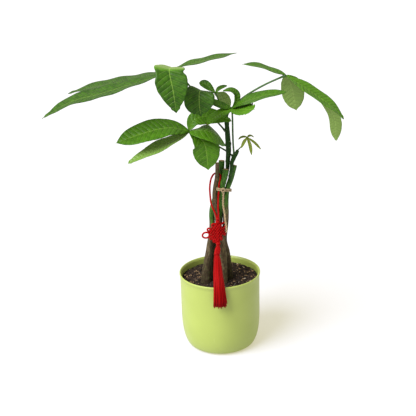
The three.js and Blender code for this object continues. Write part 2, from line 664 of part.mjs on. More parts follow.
function knot_body() {
  const pieces = [];
  const middle = (KNOT_CORDS_EACH_WAY - 1) / 2;
  for (const way of [1, -1]) {
    for (let k = 0; k < KNOT_CORDS_EACH_WAY; k += 1) {
      const offset = (k - middle) / (middle + 0.5);
      const route = [];
      for (let i = 0; i <= KNOT_CORD_STEPS; i += 1) {
        const run = (2 * i) / KNOT_CORD_STEPS - 1;
        const along = ((offset + run) / 2) * KNOT_HALF_WIDTH;
        const up = ((offset - run) / 2) * KNOT_HALF_HEIGHT * way;
        const over = (i + k) % 2 === 0 ? KNOT_WEAVE : -KNOT_WEAVE;
        route.push(knot_point(along, up, over * way));
      }
      pieces.push(cord(route, KNOT_CORD_RADIUS, KNOT_CORD_SIDES, KNOT_CORD_STEPS));
    }
  }
  for (const ear of KNOT_EARS) {
    const ring = new THREE.TorusGeometry(ear.radius, KNOT_CORD_RADIUS, KNOT_CORD_SIDES, 9);
    ring.rotateX(Math.PI / 2);
    ring.rotateZ(ear.turn);
    ring.translate(...knot_point(ear.along, ear.up, 0));
    pieces.push(ring);
  }
  for (const button of BUTTONS) pieces.push(ball(button.at, button.radius));
  return joined(pieces);
}

function tassel_geometry() {
  const curve = curveThrough(TASSEL);
  const rings = TASSEL.map((row, i) => {
    const along = curve.getTangent(i / (TASSEL.length - 1));
    const depth = along.clone().cross(new THREE.Vector3(1, 0, 0)).normalize();
    const ring = [];
    for (let j = 0; j < TASSEL_SIDES; j += 1) {
      const angle = (2 * Math.PI * j) / TASSEL_SIDES;
      const flute = i > 4 && j % 2 === 0 ? 1 + TASSEL_FLUTE : 1 - TASSEL_FLUTE;
      const p = vector(row);
      p.x += row[3] * flute * Math.cos(angle);
      p.addScaledVector(depth, row[4] * flute * Math.sin(angle));
      if (i === TASSEL.length - 1) p.z += TASSEL_RAGGED * Math.sin(j * 2.4);
      ring.push(p);
    }
    return ring;
  });
  return loft(rings);
}

const pottedTree = new THREE.Group();
const plant = new THREE.Group();
plant.position.set(...PLANT_OFFSET);
pottedTree.add(plant);

function place(group, name, geometry, colour, roughness) {
  geometry.computeVertexNormals();
  const mesh = new THREE.Mesh(geometry, material(colour, roughness));
  mesh.name = name;
  group.add(mesh);
}

place(pottedTree, 'pot', geometryOf(pot_body()), PLASTIC, 0.5);
place(pottedTree, 'soil', geometryOf(soil_body(TRUNKS)), SOIL, 0.95);
for (const [name, points] of Object.entries(TRUNKS)) {
  place(plant, name, limb(points, TRUNK_SIDES, TRUNK_STEPS), BARK, 0.85);
}
place(plant, 'main_shoot', geometryOf(shoot_body(MAIN_SHOOT, 'trunk_rear')), SHOOT, 0.55);
place(plant, 'side_shoot', geometryOf(shoot_body(SIDE_SHOOT, 'trunk_right')), SHOOT, 0.55);
for (const [name, leaf] of Object.entries(LEAVES)) {
  place(plant, name, geometryOf(leaf_body(leaf, [MAIN_SHOOT, SIDE_SHOOT])), leaf.colour, 0.45);
}
place(plant, 'twine_tie', geometryOf(tie_body()), TWINE, 0.9);
place(plant, 'twine_tail', cord(TAIL_ROUTE, TWINE_RADIUS, 8, TAIL_STEPS), TWINE, 0.9);
place(plant, 'charm_cord', cord(CHARM_CORD_ROUTE, CHARM_CORD_RADIUS, 8, CHARM_CORD_STEPS), RED, 0.7);
place(plant, 'charm_knot', geometryOf(knot_body()), RED, 0.7);
place(plant, 'charm_tassel', tassel_geometry(), RED, 0.7);

export default pottedTree;
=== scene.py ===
"""The looks of a potted money tree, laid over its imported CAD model."""
import math
import random

import bmesh
import bpy
from bpy.props import FloatProperty, FloatVectorProperty, IntProperty, PointerProperty
from mathutils import Matrix, Vector, noise


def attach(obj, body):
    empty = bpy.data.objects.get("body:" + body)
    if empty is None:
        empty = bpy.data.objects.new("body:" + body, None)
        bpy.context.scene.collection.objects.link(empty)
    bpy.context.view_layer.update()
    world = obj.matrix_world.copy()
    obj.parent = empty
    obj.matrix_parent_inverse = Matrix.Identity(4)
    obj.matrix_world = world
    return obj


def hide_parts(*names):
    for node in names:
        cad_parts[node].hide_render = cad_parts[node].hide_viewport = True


bl_info = {
    "name": "Potted money tree",
    "version": (1, 0, 0),
    "blender": (4, 5, 0),
    "location": "3D View > Sidebar > Money Tree",
    "description": "Builds a potted money tree: pot, soil, trunks, leaves and hanging charm",
    "category": "Object",
}

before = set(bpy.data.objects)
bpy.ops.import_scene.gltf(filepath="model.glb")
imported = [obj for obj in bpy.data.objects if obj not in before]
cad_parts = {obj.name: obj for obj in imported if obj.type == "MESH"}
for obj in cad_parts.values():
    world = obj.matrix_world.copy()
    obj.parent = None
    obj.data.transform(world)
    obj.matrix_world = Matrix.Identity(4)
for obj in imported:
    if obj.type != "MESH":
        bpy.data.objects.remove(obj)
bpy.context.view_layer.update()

MM = 0.001
# Where the plant stands in the pot, as in the part's source
PLANT_OFFSET = Vector((0.3, 0, 0.3)) * MM

# The photo's viewpoint in metres, how far it looks down in degrees, and its roll in radians
CAMERA_PLACE = (-0.015, -0.9703, 0.5542)
CAMERA_DOWN = 19.07
CAMERA_ROLL = -0.03
# The side that the key light comes from, its width in degrees, and the floor's size in metres
KEY_PLACE = (-1.3, -0.9, 1.6)
KEY_WIDTH = 40
FLOOR_RADIUS = 30

# Trunks, from the cut top down into the soil: [x, y, z, radius] in mm
TRUNKS = {
    "trunk_front": [
        [-0.2, -4, 288.5, 2.6], [-0.9, -4, 269, 2.9], [-4.6, -4, 247.5, 3.2], [-5, -6, 233, 3.6],
        [-4, -8, 218, 3.8], [-1, -9, 199.5, 4.2], [2.5, -10, 179, 4.5], [5, -12, 159, 4.8],
        [5.5, -15, 137.5, 5.2], [4.5, -19, 115, 6.4], [4.2, -20.5, 102, 7.4], [4, -21, 58, 6.5],
    ],
    "trunk_left": [
        [6.7, 7, 288.5, 4.4], [5.3, 7, 267, 4.3], [2.5, 6.5, 247, 4.2], [-5, 4, 229.5, 4.2],
        [-9.5, 0, 212.5, 4.2], [-9.8, -2, 192.5, 4.2], [-13, -3, 169.5, 4.4], [-16, -6, 151, 4.7],
        [-19.5, -11, 130, 6.2], [-21, -15, 112, 8], [-21.5, -16, 102, 8.8], [-21.5, -16, 58, 7],
    ],
    "trunk_rear": [
        [12.3, -7, 279, 4.4], [9.8, -7, 266.5, 4.3], [6.5, -6.8, 253, 3.9], [3.5, -4, 232, 4],
        [3, 0.3, 212.5, 4.3], [1.2, 3.4, 196.5, 4.5], [-1, 4.6, 186, 4.5],
        [-5.5, 6, 168.5, 4.5], [-10, 7, 148.5, 4.7], [-11.5, 7, 128.5, 5.4],
        [-11.5, 8, 112, 6.8], [-11.5, 8, 102, 7.3], [-11.5, 8, 58, 6.5],
    ],
    "trunk_right": [
        [24.6, 0.5, 283, 4.3], [19.8, -1.3, 265, 4], [13.5, -3, 247, 3.6], [11.4, -3, 226.5, 3.9],
        [11, -2.8, 207.5, 4.3], [9.7, -1.6, 190.5, 4.4], [7.5, 2, 164.5, 4.6], [11, 1, 147, 4.8],
        [12.5, -2, 131.5, 5.2], [13.5, -4, 114.5, 6.2], [13.5, -4, 102, 7], [13.5, -4, 58, 6.5],
    ],
}
# Heights in mm between which each trunk's bark turns from grey-brown to green
GREENING = {
    "trunk_front": (330, 420), "trunk_left": (190, 208),
    "trunk_rear": (192, 212), "trunk_right": (204, 240),
}

# Shoots, from the root in a trunk up to the tip
SHOOTS = {
    "main_shoot": [
        [9.8, -5, 257, 2.2], [11.6, -0.2, 264, 2.5], [14, 3, 272, 2.7], [15.6, 3, 290.5, 3.2],
        [16.8, 2, 305.5, 4], [15.8, 1, 328, 3.8], [14.9, 0, 350, 2.8], [15, 0, 356, 2.1],
    ],
    "side_shoot": [
        [18.2, -4, 259, 2.1], [17.9, -6.2, 268, 2.3], [19.9, -6.8, 277.5, 2.4],
        [21.1, -5.4, 288, 2.8], [24, -3.5, 295, 3.2], [27.7, -2.6, 301, 2.9],
        [30, -2, 305.5, 2.3],
    ],
}

# Leaves: the stalk, its radius, and the leaflets. A leaflet is its midrib's path, the way
# that its upper side faces at the base and tip, its width, the two exponents of its outline,
# its fold, its tint from 0 dark to 1 light, and how much of its tip is dry.
LEAVES = {
    "leaf_upper_left": (
        [[12.5, 0, 334], [0.5, -3, 349.5], [-9, -6, 363.5], [-29, -14, 393.5],
         [-48, -19, 418], [-55, -20, 426.5]], 1.3, [
            ([[-55, -20, 426.5], [-72, -15, 421], [-104, -4, 413], [-133, 4, 407.4],
              [-177, 12, 399.5], [-209, 16, 391.2]],
             (0, -0.1, 1), (0, -0.2, 1), 38, 0.85, 0.75, 0.1, 0.1, 0),
            ([[-55, -21, 425.5], [-77, -28, 419], [-108.5, -38, 411.5], [-154.5, -50, 400.5],
              [-194, -58, 392], [-231.3, -62, 372.2]],
             (0, -0.1, 1), (0, -0.25, 1), 39, 1.2, 0.9, 0.1, 0.15, 0),
            ([[-55, -21, 427], [-58.6, -42, 431.6], [-60, -66, 429], [-55.6, -78, 406],
              [-52.6, -80, 377]],
             (0.12, 0.1, 1), (0, -1, 0.1), 41, 0.9, 0.78, 0.1, 0.2, 0),
            ([[-54, -20, 427], [-30, -8, 431.5], [-6.5, 4, 435], [14.5, 14, 438.2],
              [33, 20.5, 440.5]],
             (0, -0.05, 1), (0, -0.05, 1), 29, 0.75, 0.7, 0.1, 0.25, 0),
        ]),
    "leaf_lower_left": (
        [[22, -1, 297.5], [19, 7, 298.5], [14, 9, 302], [7, 5, 307.5], [-15.5, -14, 326.5],
         [-38.5, -25, 340]], 1.3, [
            ([[-38.5, -25, 341], [-63.5, -34, 348.5], [-89.5, -42, 346.5], [-116, -48, 340],
              [-138, -52, 333.2]],
             (0, -0.5, 0.79), (0, -0.5, 0.79), 39, 0.72, 0.6, 0.1, 0.55, 0),
            # This leaflet's high tint is partly its own paler colour and partly painted light,
            # which lifts it out of the shadow of the leaflet above
            ([[-39, -26, 339.5], [-64, -38, 330.8], [-90.7, -50, 320.4], [-107, -56, 314],
              [-122.3, -60, 306.5]],
             (0.1, -0.3, 0.9), (0.1, -0.3, 0.9), 24, 0.85, 0.85, 0.12, 2.1, 0),
            ([[-37.5, -26, 341], [-23.5, -31, 342.7], [-9, -30, 340.2], [3.5, -23, 330],
              [12.2, -15, 315.3]],
             (0.1, -0.35, 0.9), (0.5, -0.35, 0.8), 36, 0.65, 0.65, -0.15, 0.85, 0),
            ([[-38, -26, 339], [-27, -28, 333], [-18, -31, 325], [-14.8, -33, 308.5],
              [-13.5, -31, 285]],
             (0.3, -0.6, 0.8), (0, -1, 0.1), 38, 0.8, 0.66, 0.08, 0.7, 0),
            ([[-38.5, -24.5, 342], [-31, -23, 356], [-14.5, -19, 360], [5, -14, 356.5],
              [21.3, -12.6, 350.5]],
             (-0.3, -0.8, 0.3), (0, -0.8, 0.6), 24, 0.7, 0.8, 0.1, 0.85, 0),
        ]),
    "leaf_small_centre": (
        [[12.5, 0, 349], [7, -3, 368], [3.5, -6, 380], [0, -8, 390]], 1.1, [
            ([[0, -8, 390.5], [-7.6, -6, 397], [-14.2, -4, 402], [-23, -2, 404]],
             (-0.3, -0.8, 0.6), (-0.3, -0.8, 0.6), 11.5, 1, 0.5, 0.1, 0.35, 0),
            ([[0.3, -8, 390.5], [5, -3, 395], [11, 2, 397], [17, 6, 397.5]],
             (0, -0.4, 0.9), (0, -0.4, 0.9), 8, 0.8, 0.7, 0.1, 0.4, 0),
            ([[0.5, -7.5, 390], [7, 1, 386], [13.3, 7, 376], [17, 11, 363]],
             (0.1, 0.6, 0.8), (0.3, 1, 0.3), 18, 0.5, 0.45, 0.08, 0.7, 0),
            ([[-0.5, -8.5, 390.5], [-14, -28, 395], [-21.4, -45, 399], [-22.6, -54, 393.2],
              [-22.6, -58, 381.2], [-20.6, -59, 367.2]],
             (0, 0, 1), (0, -1, 0.1), 40, 1.8, 0.6, 0.08, 0.1, 0),
        ]),
    "leaf_centre": (
        [[24.5, -3, 300.5], [23.6, -4, 310.5], [23, -6, 332.5], [23, -7, 348.5],
         [22.5, -8, 367.5]], 1.4, [
            ([[22.3, -8.5, 368.3], [8, -13, 373], [-2.5, -16, 378], [-12.5, -19, 383.5]],
             (-0.2, -0.6, 0.8), (-0.2, -0.6, 0.8), 13.5, 0.8, 0.6, 0.1, 0.3, 0),
            ([[22.2, -8.5, 367.8], [8, -21, 364.5], [-4.5, -32, 359.8], [-14.2, -40, 352]],
             (-0.2, -0.45, 0.9), (-0.3, -0.45, 0.8), 20.5, 0.7, 0.6, 0.1, 1.1, 0.04),
            ([[23, -7.5, 368.5], [29.3, -4, 377], [29.8, -3, 386.5], [22, -5, 393],
              [10, -7, 392.3]],
             (0.5, -0.85, 0.1), (0, -0.6, 0.8), 9.5, 0.8, 0.7, 0.1, 0.45, 0),
            ([[23, -8.5, 368.5], [37.5, -13, 376.5], [53.5, -17, 382.5], [74, -21, 388],
              [97, -25, 391]],
             (0, -0.28, 0.97), (0, -0.25, 0.97), 30, 0.6, 0.7, 0.12, 0.4, 0),
            ([[23, -9, 367.5], [32.5, -22, 368.5], [43, -33, 370], [51.8, -41, 371.8]],
             (-0.1, -0.45, 0.9), (-0.1, -0.45, 0.9), 29, 0.55, 0.3, 0.08, 0.9, 0),
        ]),
    "leaf_upper_right": (
        [[14.9, 0, 355.5], [22, 3, 365], [39.5, 6, 380], [52.5, 7, 388], [72, 7, 398],
         [99, 5, 409.5]], 1.5, [
            ([[99, 5, 410], [80, 11, 415.8], [59, 15, 422.8], [39, 17, 425]],
             (0, -0.12, 1), (0, -0.12, 1), 24, 0.8, 0.7, 0.12, 0.4, 0),
            ([[99.5, 6, 409.5], [107, 15, 396], [112.8, 22, 376], [117, 25, 355]],
             (0, 0.5, 0.9), (0, 1, 0.2), 32, 0.62, 0.55, 0.08, 0.7, 0),
            ([[99.5, 4.5, 409.5], [121, -3, 395.7], [146.8, -9, 378], [165, -12, 364.5],
              [179, -13, 348.5]],
             (0.3, -0.4, 0.85), (0.3, -0.4, 0.85), 27.5, 0.7, 0.7, 0.12, 0.75, 0),
            ([[99.8, 5.5, 409.5], [127, 15, 387], [156, 23, 366], [172.5, 27, 344],
              [177, 28, 307.5]],
             (0.3, 0.2, 0.9), (0.3, 1, 0.2), 18, 3, 0.75, 0.1, 0.7, 0),
        ]),
    "leaf_young": (
        [[30, -2, 305.8], [38, -3, 314.5], [43.6, -3, 324.3]], 0.9, [
            ([[43.6, -3, 324.6], [39.1, -1, 324.8], [34.6, 1.2, 323.3], [31.1, 2, 320.3]],
             (0, -0.4, 0.9), (-0.4, -0.4, 0.8), 4.5, 0.7, 0.7, 0.2, 0.4, 0),
            ([[43.4, -3.3, 324.1], [39.1, -8, 319.3], [34.6, -9, 310.3]],
             (-0.3, -0.7, 0.7), (-0.5, -0.8, 0.4), 5, 0.7, 0.7, 0.2, 0.6, 0),
            ([[43.6, -3.4, 324], [47.1, -11, 314.3], [49.1, -12, 300.3]],
             (0, -0.7, 0.7), (0, -1, 0.3), 5, 0.7, 0.7, 0.2, 0.5, 0),
            ([[43.8, -3.2, 324.1], [52.6, -8, 318.3], [62.6, -9, 307.8]],
             (0.3, -0.6, 0.7), (0.5, -0.7, 0.5), 4.5, 0.7, 0.7, 0.2, 0.6, 0),
            ([[43.8, -2.8, 324.6], [48.6, 2, 325.4], [54.1, 4, 322.3]],
             (0, -0.4, 0.9), (0.2, -0.4, 0.9), 4.5, 0.7, 0.7, 0.2, 0.4, 0),
        ]),
}
WIDEST_PETIOLULE = 1.7
MARGIN_WAVE = 0.6
# A narrow drip tip ends each leaflet: its length and half width as shares of the leaf's width
DRIP_LENGTH = 0.09
DRIP_WIDTH = 0.075
# A leaflet narrower than this many mm gets a coarser sheet
SMALL_LEAFLET = 7
# How closely the sheet's stations crowd to both ends, as a share of its length
CROWDING = 0.07
# How far a side vein runs to the tip for each mm that it runs out
VEIN_SLANT = 0.62
# By the x of a leaflet's tip: how much of its end is torn away, and the share of its length
# that lies flat before it bends down, where a painted sheen raises its tint by FLAT_SHINE
TORN = {51.8: 0.5}
FLAT_BASE = {-52.6: 0.46}
FLAT_SHINE = 2.6

# Twine
TIE_HEIGHTS = (248.8, 251.1)
TIE_SLOPE = (-0.18, -0.16)
TIE_KNOT = (7.2, -14, 249.9)
# The two loops of the tie's knot: radius and tilt
TIE_LOOPS = ((2.5, 0.15), (2.2, -0.5))
# Millimetres of twine to a turn of its two plies, and how far each ply lies from the middle
# as a share of its own radius
TWIST_PITCH = 7.5
PLY_REACH = 0.94
TIE_ROUTE = [
    (-1.3, -11.4), (-0.9, -8.2), (0.8, -4.6), (-0.9, 0.8), (-3.4, 5.6), (-2, 10.8), (2.6, 12.6),
    (8, 11.4), (13.2, 7.2), (17.3, 2.6), (19.3, -3), (16.9, -7.6), (12.6, -10.4), (7.6, -12),
    (3.6, -13.2), (0.5, -13),
]
TAIL_ROUTE = [
    [7.6, -14.6, 245.6], [7.4, -14.4, 240], [6.8, -14.2, 231.5], [7.3, -15.2, 223.5],
    [8.8, -17.2, 214], [9.3, -19, 206], [10.6, -20.5, 197], [11, -20.5, 187],
]

# Rounding of the pot towards its foot, in mm
CORNER_INSET = 13.6
CORNER_HEIGHT = 50
CORNER_POWER = 2.15
# The wall's stations above the floor, the round of its foot, its lip and its drain holes
WALL_HEIGHTS = (5, 8, 12, 17, 23, 30, 38, 47, 56, 80, 100)
POT_FLOOR = 3
FOOT_ROUND = 2.5
LIP_DEPTH = 4
LIP_ROUND = 1.1
DRAIN_HOLES = 4
DRAIN_RADIUS = 3.5
DRAIN_PLACE = 26
# From the pot's outside to the edge of the soil, and the underside of the soil
SOIL_INSET = 2.7
SOIL_FOOT = 3.3
# Tries at a place for a grain outside the trunks, and grains that are made in one small mesh
PLACING_TRIES = 40
BATCH = 80

# Charm
CHARM_CORD_ROUTE = [
    [-0.3, -17.4, 207.8], [-0.6, -16, 219], [-0.3, -13.4, 230.5], [0.4, -10.9, 241],
    [1.3, -9.9, 248], [1.4, -8.9, 254], [2.4, -7, 260], [4.4, -4.4, 266.5], [3.6, -1.4, 270],
    [1.3, 0.2, 271.6], [-2.1, 0.3, 272], [-5, -2.6, 271.5], [-8.2, -5, 268.4],
    [-10.2, -6.8, 263], [-11.8, -8.5, 254], [-11.6, -11, 241], [-10.1, -13.5, 228],
    [-7.3, -15, 221], [-4.6, -16, 214.5], [-2.8, -17.4, 207.8],
]
# The cord's run on through the knot and the tassel
CHARM_CORE_ROUTE = [
    [-2.4, -18.6, 202], [-2.3, -19.2, 186.5], [-2.1, -20.2, 170.5], [-2.6, -23.5, 163],
    [-4, -28.6, 156.6], [-4.2, -33, 151.6], [-3.8, -39.6, 146], [-3.8, -48, 139.4],
    [-3.5, -56.4, 132.2], [-3.1, -63.1, 124.6], [-2.8, -67.7, 116], [-2.6, -69.7, 104.5],
    [-2.5, -69.9, 95],
]
KNOT_CENTRE = (-3.2, -19.2, 186.5)
# How fast the knot's right half bends back round the trunks, per mm
KNOT_BEND = 0.045
# The diamond: cords each way, half its width and height, how far a cord rises over another
KNOT_CORDS = 6
KNOT_HALF_WIDTH = 11.4
KNOT_HALF_HEIGHT = 15.2
KNOT_RISE = 0.95
KNOT_CORD_RADIUS = 1.12
EAR_CORD_RADIUS = 1.32
BUTTON_CORD_RADIUS = 0.98
BUTTON_TILTS = (-0.9, 0.1, 1.0)
# Loops at the knot's edge: along and up from its centre, radius and turn
KNOT_EARS = [
    (-4.7, 11.2, 2.5, 0), (-11.3, 4.7, 2.5, 0), (-16.2, -3.6, 4.8, 0), (-8.5, -8.2, 2.1, 0),
    (-3.7, -12.6, 2.2, 0), (5.2, 11.6, 2, 0.9), (9.4, 9.4, 4.2, 0.5), (11.4, -4.4, 2.2, 1.1),
    (6.2, -10.2, 2, 0.9),
]
# Button knots, two above the knot and one below: place and radius
BUTTONS = [((-1.4, -17.7, 207.6), 3), ((-1.6, -18, 203), 3.7), ((-2, -20.4, 169.8), 3.8)]
# Tassel, from the top of its head to its cut end: x, y, z, half width, half depth
TASSEL = [
    [-2.2, -22, 165.3, 2, 2], [-2.6, -23.5, 163, 3.6, 3.4], [-3.2, -25.6, 160.2, 3.9, 3.6],
    [-4, -28.6, 156.6, 4, 3.6], [-4.2, -29.8, 155.2, 3.6, 3.3], [-4.2, -33, 151.6, 4.9, 3.6],
    [-3.8, -39.6, 146, 5.6, 3.8], [-3.8, -48, 139.4, 6.4, 3.9], [-3.5, -56.4, 132.2, 6.9, 4],
    [-3.1, -63.1, 124.6, 7.3, 4], [-2.8, -67.7, 116, 7.7, 4], [-2.6, -69.7, 104.5, 8.2, 4.1],
    [-2.5, -69.9, 92, 8.7, 4.3],
]
# The skirt's threads lie in locks, of which one hangs loose at the right
LOCKS = 22
LOOSE_LOCK = 21
# How much lower and further out the loose lock hangs, in mm
LOOSE_DROP = 6
LOOSE_SPREAD = 2.2
# Stations along the tassel, where its outer and inner threads begin, and where its binding does
STATIONS = 60
OUTER_START = 18
INNER_START = 40
BINDING_START = 17
BINDING_TURNS = 5
HEAD_THREADS = 26
NECK_RADIUS = 2.5
# Radii of the skirt's threads at their top, of the head's threads and of the binding
THREAD_RADIUS = 0.46
HEAD_THREAD_RADIUS = 0.52
BINDING_RADIUS = 0.42


def linear(code):
    """Linear RGBA of an sRGB hex colour."""
    parts = [int(code[i:i + 2], 16) / 255 for i in (1, 3, 5)]
    return [c / 12.92 if c <= 0.04045 else ((c + 0.055) / 1.055) ** 2.4 for c in parts] + [1]


def per_mm(size):
    """Texture scale whose features are this many millimetres wide."""
    return 1 / (size * MM)


# Settings

class PotSettings(bpy.types.PropertyGroup):
    """Sizes and colour of the round plastic pot"""
    height: FloatProperty(
        name="Height", description="From the floor to the top of the rim",
        default=0.1173, unit="LENGTH")
    rim_radius: FloatProperty(
        name="Rim radius", description="Outside radius of the rim",
        default=0.0617, unit="LENGTH")
    wall_radius: FloatProperty(
        name="Wall radius", description="Outside radius of the wall below the rim",
        default=0.0605, unit="LENGTH")
    wall: FloatProperty(
        name="Wall", description="Thickness of the plastic wall", default=0.0022, unit="LENGTH")
    colour: FloatVectorProperty(
        name="Plastic", description="Colour of the moulded plastic", subtype="COLOR", size=4,
        min=0, max=1, default=linear("#97A550"))


class SoilSettings(bpy.types.PropertyGroup):
    """The potting mix and what lies on it"""
    top: FloatProperty(
        name="Soil height", description="Level of the soil above the floor",
        default=0.1065, unit="LENGTH")
    relief: FloatProperty(
        name="Relief", description="How far the crumbs rise and fall",
        default=0.0019, unit="LENGTH")
    crumbs: IntProperty(
        name="Crumbs", description="Number of loose crumbs on the soil", default=2300)
    perlite: IntProperty(
        name="Perlite", description="Number of pale perlite grains", default=110)
    chips: IntProperty(
        name="Bark chips", description="Number of small bark chips", default=260)
    colour: FloatVectorProperty(
        name="Soil", description="Colour of the moist mix", subtype="COLOR", size=4,
        min=0, max=1, default=linear("#1C120A"))


class PlantSettings(bpy.types.PropertyGroup):
    """Bark and leaf colours of the tree"""
    bark: FloatVectorProperty(
        name="Bark", description="Colour of the old bark", subtype="COLOR", size=4,
        min=0, max=1, default=linear("#6A5A42"))
    young_bark: FloatVectorProperty(
        name="Young bark", description="Colour of the green wood", subtype="COLOR", size=4,
        min=0, max=1, default=linear("#3F6F1B"))
    shoot: FloatVectorProperty(
        name="Shoot", description="Colour of the green shoots", subtype="COLOR", size=4,
        min=0, max=1, default=linear("#1A3F09"))
    leaf_dark: FloatVectorProperty(
        name="Dark leaf", description="Colour of the darkest leaflets", subtype="COLOR", size=4,
        min=0, max=1, default=linear("#1B3C08"))
    leaf_light: FloatVectorProperty(
        name="Light leaf", description="Colour of the lightest leaflets", subtype="COLOR",
        size=4, min=0, max=1, default=linear("#487612"))
    leaf_under: FloatVectorProperty(
        name="Leaf underside", description="Colour of the pale underside", subtype="COLOR",
        size=4, min=0, max=1, default=linear("#708A44"))
    vein_spacing: FloatProperty(
        name="Vein spacing", description="Distance between two side veins of a large leaflet",
        default=0.0072, unit="LENGTH")


class CharmSettings(bpy.types.PropertyGroup):
    """The red charm and the twine"""
    red: FloatVectorProperty(
        name="Red", description="Colour of the cord, knot and tassel", subtype="COLOR", size=4,
        min=0, max=1, default=linear("#A00507"))
    cord_diameter: FloatProperty(
        name="Cord diameter", description="Thickness of the hanging cord",
        default=0.0027, unit="LENGTH")
    twine: FloatVectorProperty(
        name="Twine", description="Colour of the jute twine", subtype="COLOR", size=4,
        min=0, max=1, default=linear("#B29B76"))
    twine_diameter: FloatProperty(
        name="Twine diameter", description="Thickness of the twisted twine round the trunks",
        default=0.0024, unit="LENGTH")
    tail_diameter: FloatProperty(
        name="Tail diameter", description="Thickness of the loosened end of the twine",
        default=0.0031, unit="LENGTH")
    threads: IntProperty(
        name="Tassel threads", description="Number of threads in the skirt", default=260)


class StageSettings(bpy.types.PropertyGroup):
    """Floor, lights and camera"""
    # Bluish base colour which, together with the floor's painted cream glow, looks white where
    # lit
    floor: FloatVectorProperty(
        name="Floor", description="Colour of the plain floor", subtype="COLOR", size=4,
        min=0, max=1, default=linear("#9599B3"))
    key: FloatProperty(
        name="Key light", description="Strength of the large soft light", default=5.4)
    sky: FloatProperty(
        name="Surrounding light", description="Strength of the even warm light", default=0.78)
    lens: FloatProperty(
        name="Lens", description="Focal length in millimetres", default=60)


# Nodes and materials

# A colour mix takes its share at 0 and its two colours at 6 and 7, and gives its result at 2.
# An eased range takes a value at 0, runs from 1 to 2 and gives 3 to 4, or 0 to 1 where those
# aren't set.
COLOUR_MIX = {"data_type": "RGBA"}
EASED = {"interpolation_type": "SMOOTHSTEP"}


def add(tree, kind, inputs, give=0, **settings):
    """Adds a node with its settings made and its inputs set or linked, and gives one of its
    outputs."""
    made = tree.nodes.new("ShaderNode" + kind)
    for key, value in settings.items():
        setattr(made, key, value)
    for key, value in inputs.items():
        socket = made.inputs[key]
        if isinstance(value, bpy.types.NodeSocket):
            tree.links.new(value, socket)
        else:
            socket.default_value = value
    return made.outputs[give]


def surface(name, **values):
    """A new material of that name, with its node tree and its shader."""
    made = bpy.data.materials.new(name)
    made.use_nodes = True
    shader = made.node_tree.nodes["Principled BSDF"]
    for key, value in values.items():
        shader.inputs[key.replace("_", " ")].default_value = value
    return made, made.node_tree, shader


def link(tree, shader, **outputs):
    """Links outputs to the shader's inputs of those names."""
    for name, output in outputs.items():
        tree.links.new(output, shader.inputs[name.replace("_", " ")])


def dimmed(colour, share):
    """That colour with a share of its light."""
    return [c * share for c in colour[:3]] + [1]


def pot_plastic(colour):
    """Injection-moulded polypropylene: a soft satin with a faint orange peel and light scuffs."""
    made, tree, shader = surface("moulded_polypropylene", Roughness=0.42, IOR=1.49)
    place = add(tree, "TexCoord", {}, "Object")
    cloud = add(tree, "TexNoise", {
        "Vector": place, "Scale": per_mm(45), "Detail": 2, "Roughness": 0.55})
    uneven = add(tree, "MapRange", {0: cloud, 1: 0.35, 2: 0.65, 4: 0.2}, **EASED)
    shade = add(tree, "Mix", {0: uneven, 6: colour, 7: dimmed(colour, 0.82)}, 2, **COLOUR_MIX)
    rubbed = add(tree, "TexNoise", {
        "Vector": add(tree, "Mapping", {"Vector": place, "Scale": (1, 1, 0.35)}),
        "Scale": per_mm(7), "Detail": 6, "Roughness": 0.7})
    scuff = add(tree, "MapRange", {0: rubbed, 1: 0.64, 2: 0.76, 4: 0.07}, **EASED)
    peel = add(tree, "TexNoise", {
        "Vector": place, "Scale": per_mm(1.1), "Detail": 2, "Roughness": 0.55})
    link(tree, shader,
         Base_Color=add(tree, "Mix", {0: scuff, 6: shade, 7: linear("#CFDD93")}, 2,
                        **COLOUR_MIX),
         Roughness=add(tree, "MapRange", {0: cloud, 1: 0.3, 2: 0.7, 3: 0.36, 4: 0.5}, **EASED),
         Normal=add(tree, "Bump", {"Height": peel, "Strength": 0.5, "Distance": 0.03 * MM}))
    return made


def potting_mix(colour):
    """Moist peat and bark mix: near black where wet, fibrous brown crumbs where dry."""
    made, tree, shader = surface("moist_potting_mix", Roughness=0.95, IOR=1.4)
    place = add(tree, "TexCoord", {}, "Object")
    crumb = add(tree, "TexNoise", {
        "Vector": place, "Scale": per_mm(2.2), "Detail": 5, "Roughness": 0.7})
    patch = add(tree, "TexNoise", {
        "Vector": place, "Scale": per_mm(14), "Detail": 3, "Roughness": 0.55})
    rough = add(tree, "TexNoise", {
        "Vector": place, "Scale": per_mm(1.2), "Detail": 5, "Roughness": 0.7})
    wet = add(tree, "Mix", {
        0: add(tree, "MapRange", {0: crumb, 1: 0.42, 2: 0.62}, **EASED),
        6: linear("#060302"), 7: colour}, 2, **COLOUR_MIX)
    dry = add(tree, "Mix", {
        0: add(tree, "MapRange", {0: crumb, 1: 0.62, 2: 0.72}, **EASED),
        6: wet, 7: linear("#38261A")}, 2, **COLOUR_MIX)
    link(tree, shader,
         Base_Color=add(tree, "Mix", {
             0: add(tree, "MapRange", {0: patch, 1: 0.35, 2: 0.6, 4: 0.55}, **EASED),
             6: dry, 7: linear("#1C130C")}, 2, **COLOUR_MIX),
         Normal=add(tree, "Bump", {"Height": rough, "Strength": 1, "Distance": 0.7 * MM}))
    return made


def grain(name, low, high, size, rough):
    """Loose grains whose colour differs from one to the next by where they lie."""
    made, tree, shader = surface(name, Roughness=rough)
    place = add(tree, "TexCoord", {}, "Object")
    colour = add(tree, "TexNoise", {
        "Vector": place, "Scale": per_mm(size), "Detail": 2, "Roughness": 0.55})
    grit = add(tree, "TexNoise", {
        "Vector": place, "Scale": per_mm(0.5), "Detail": 3, "Roughness": 0.55})
    link(tree, shader,
         Base_Color=add(tree, "Mix", {
             0: add(tree, "MapRange", {0: colour, 1: 0.35, 2: 0.65}, **EASED),
             6: linear(low), 7: linear(high)}, 2, **COLOUR_MIX),
         Normal=add(tree, "Bump", {"Height": grit, "Strength": 1, "Distance": 0.12 * MM}))
    return made


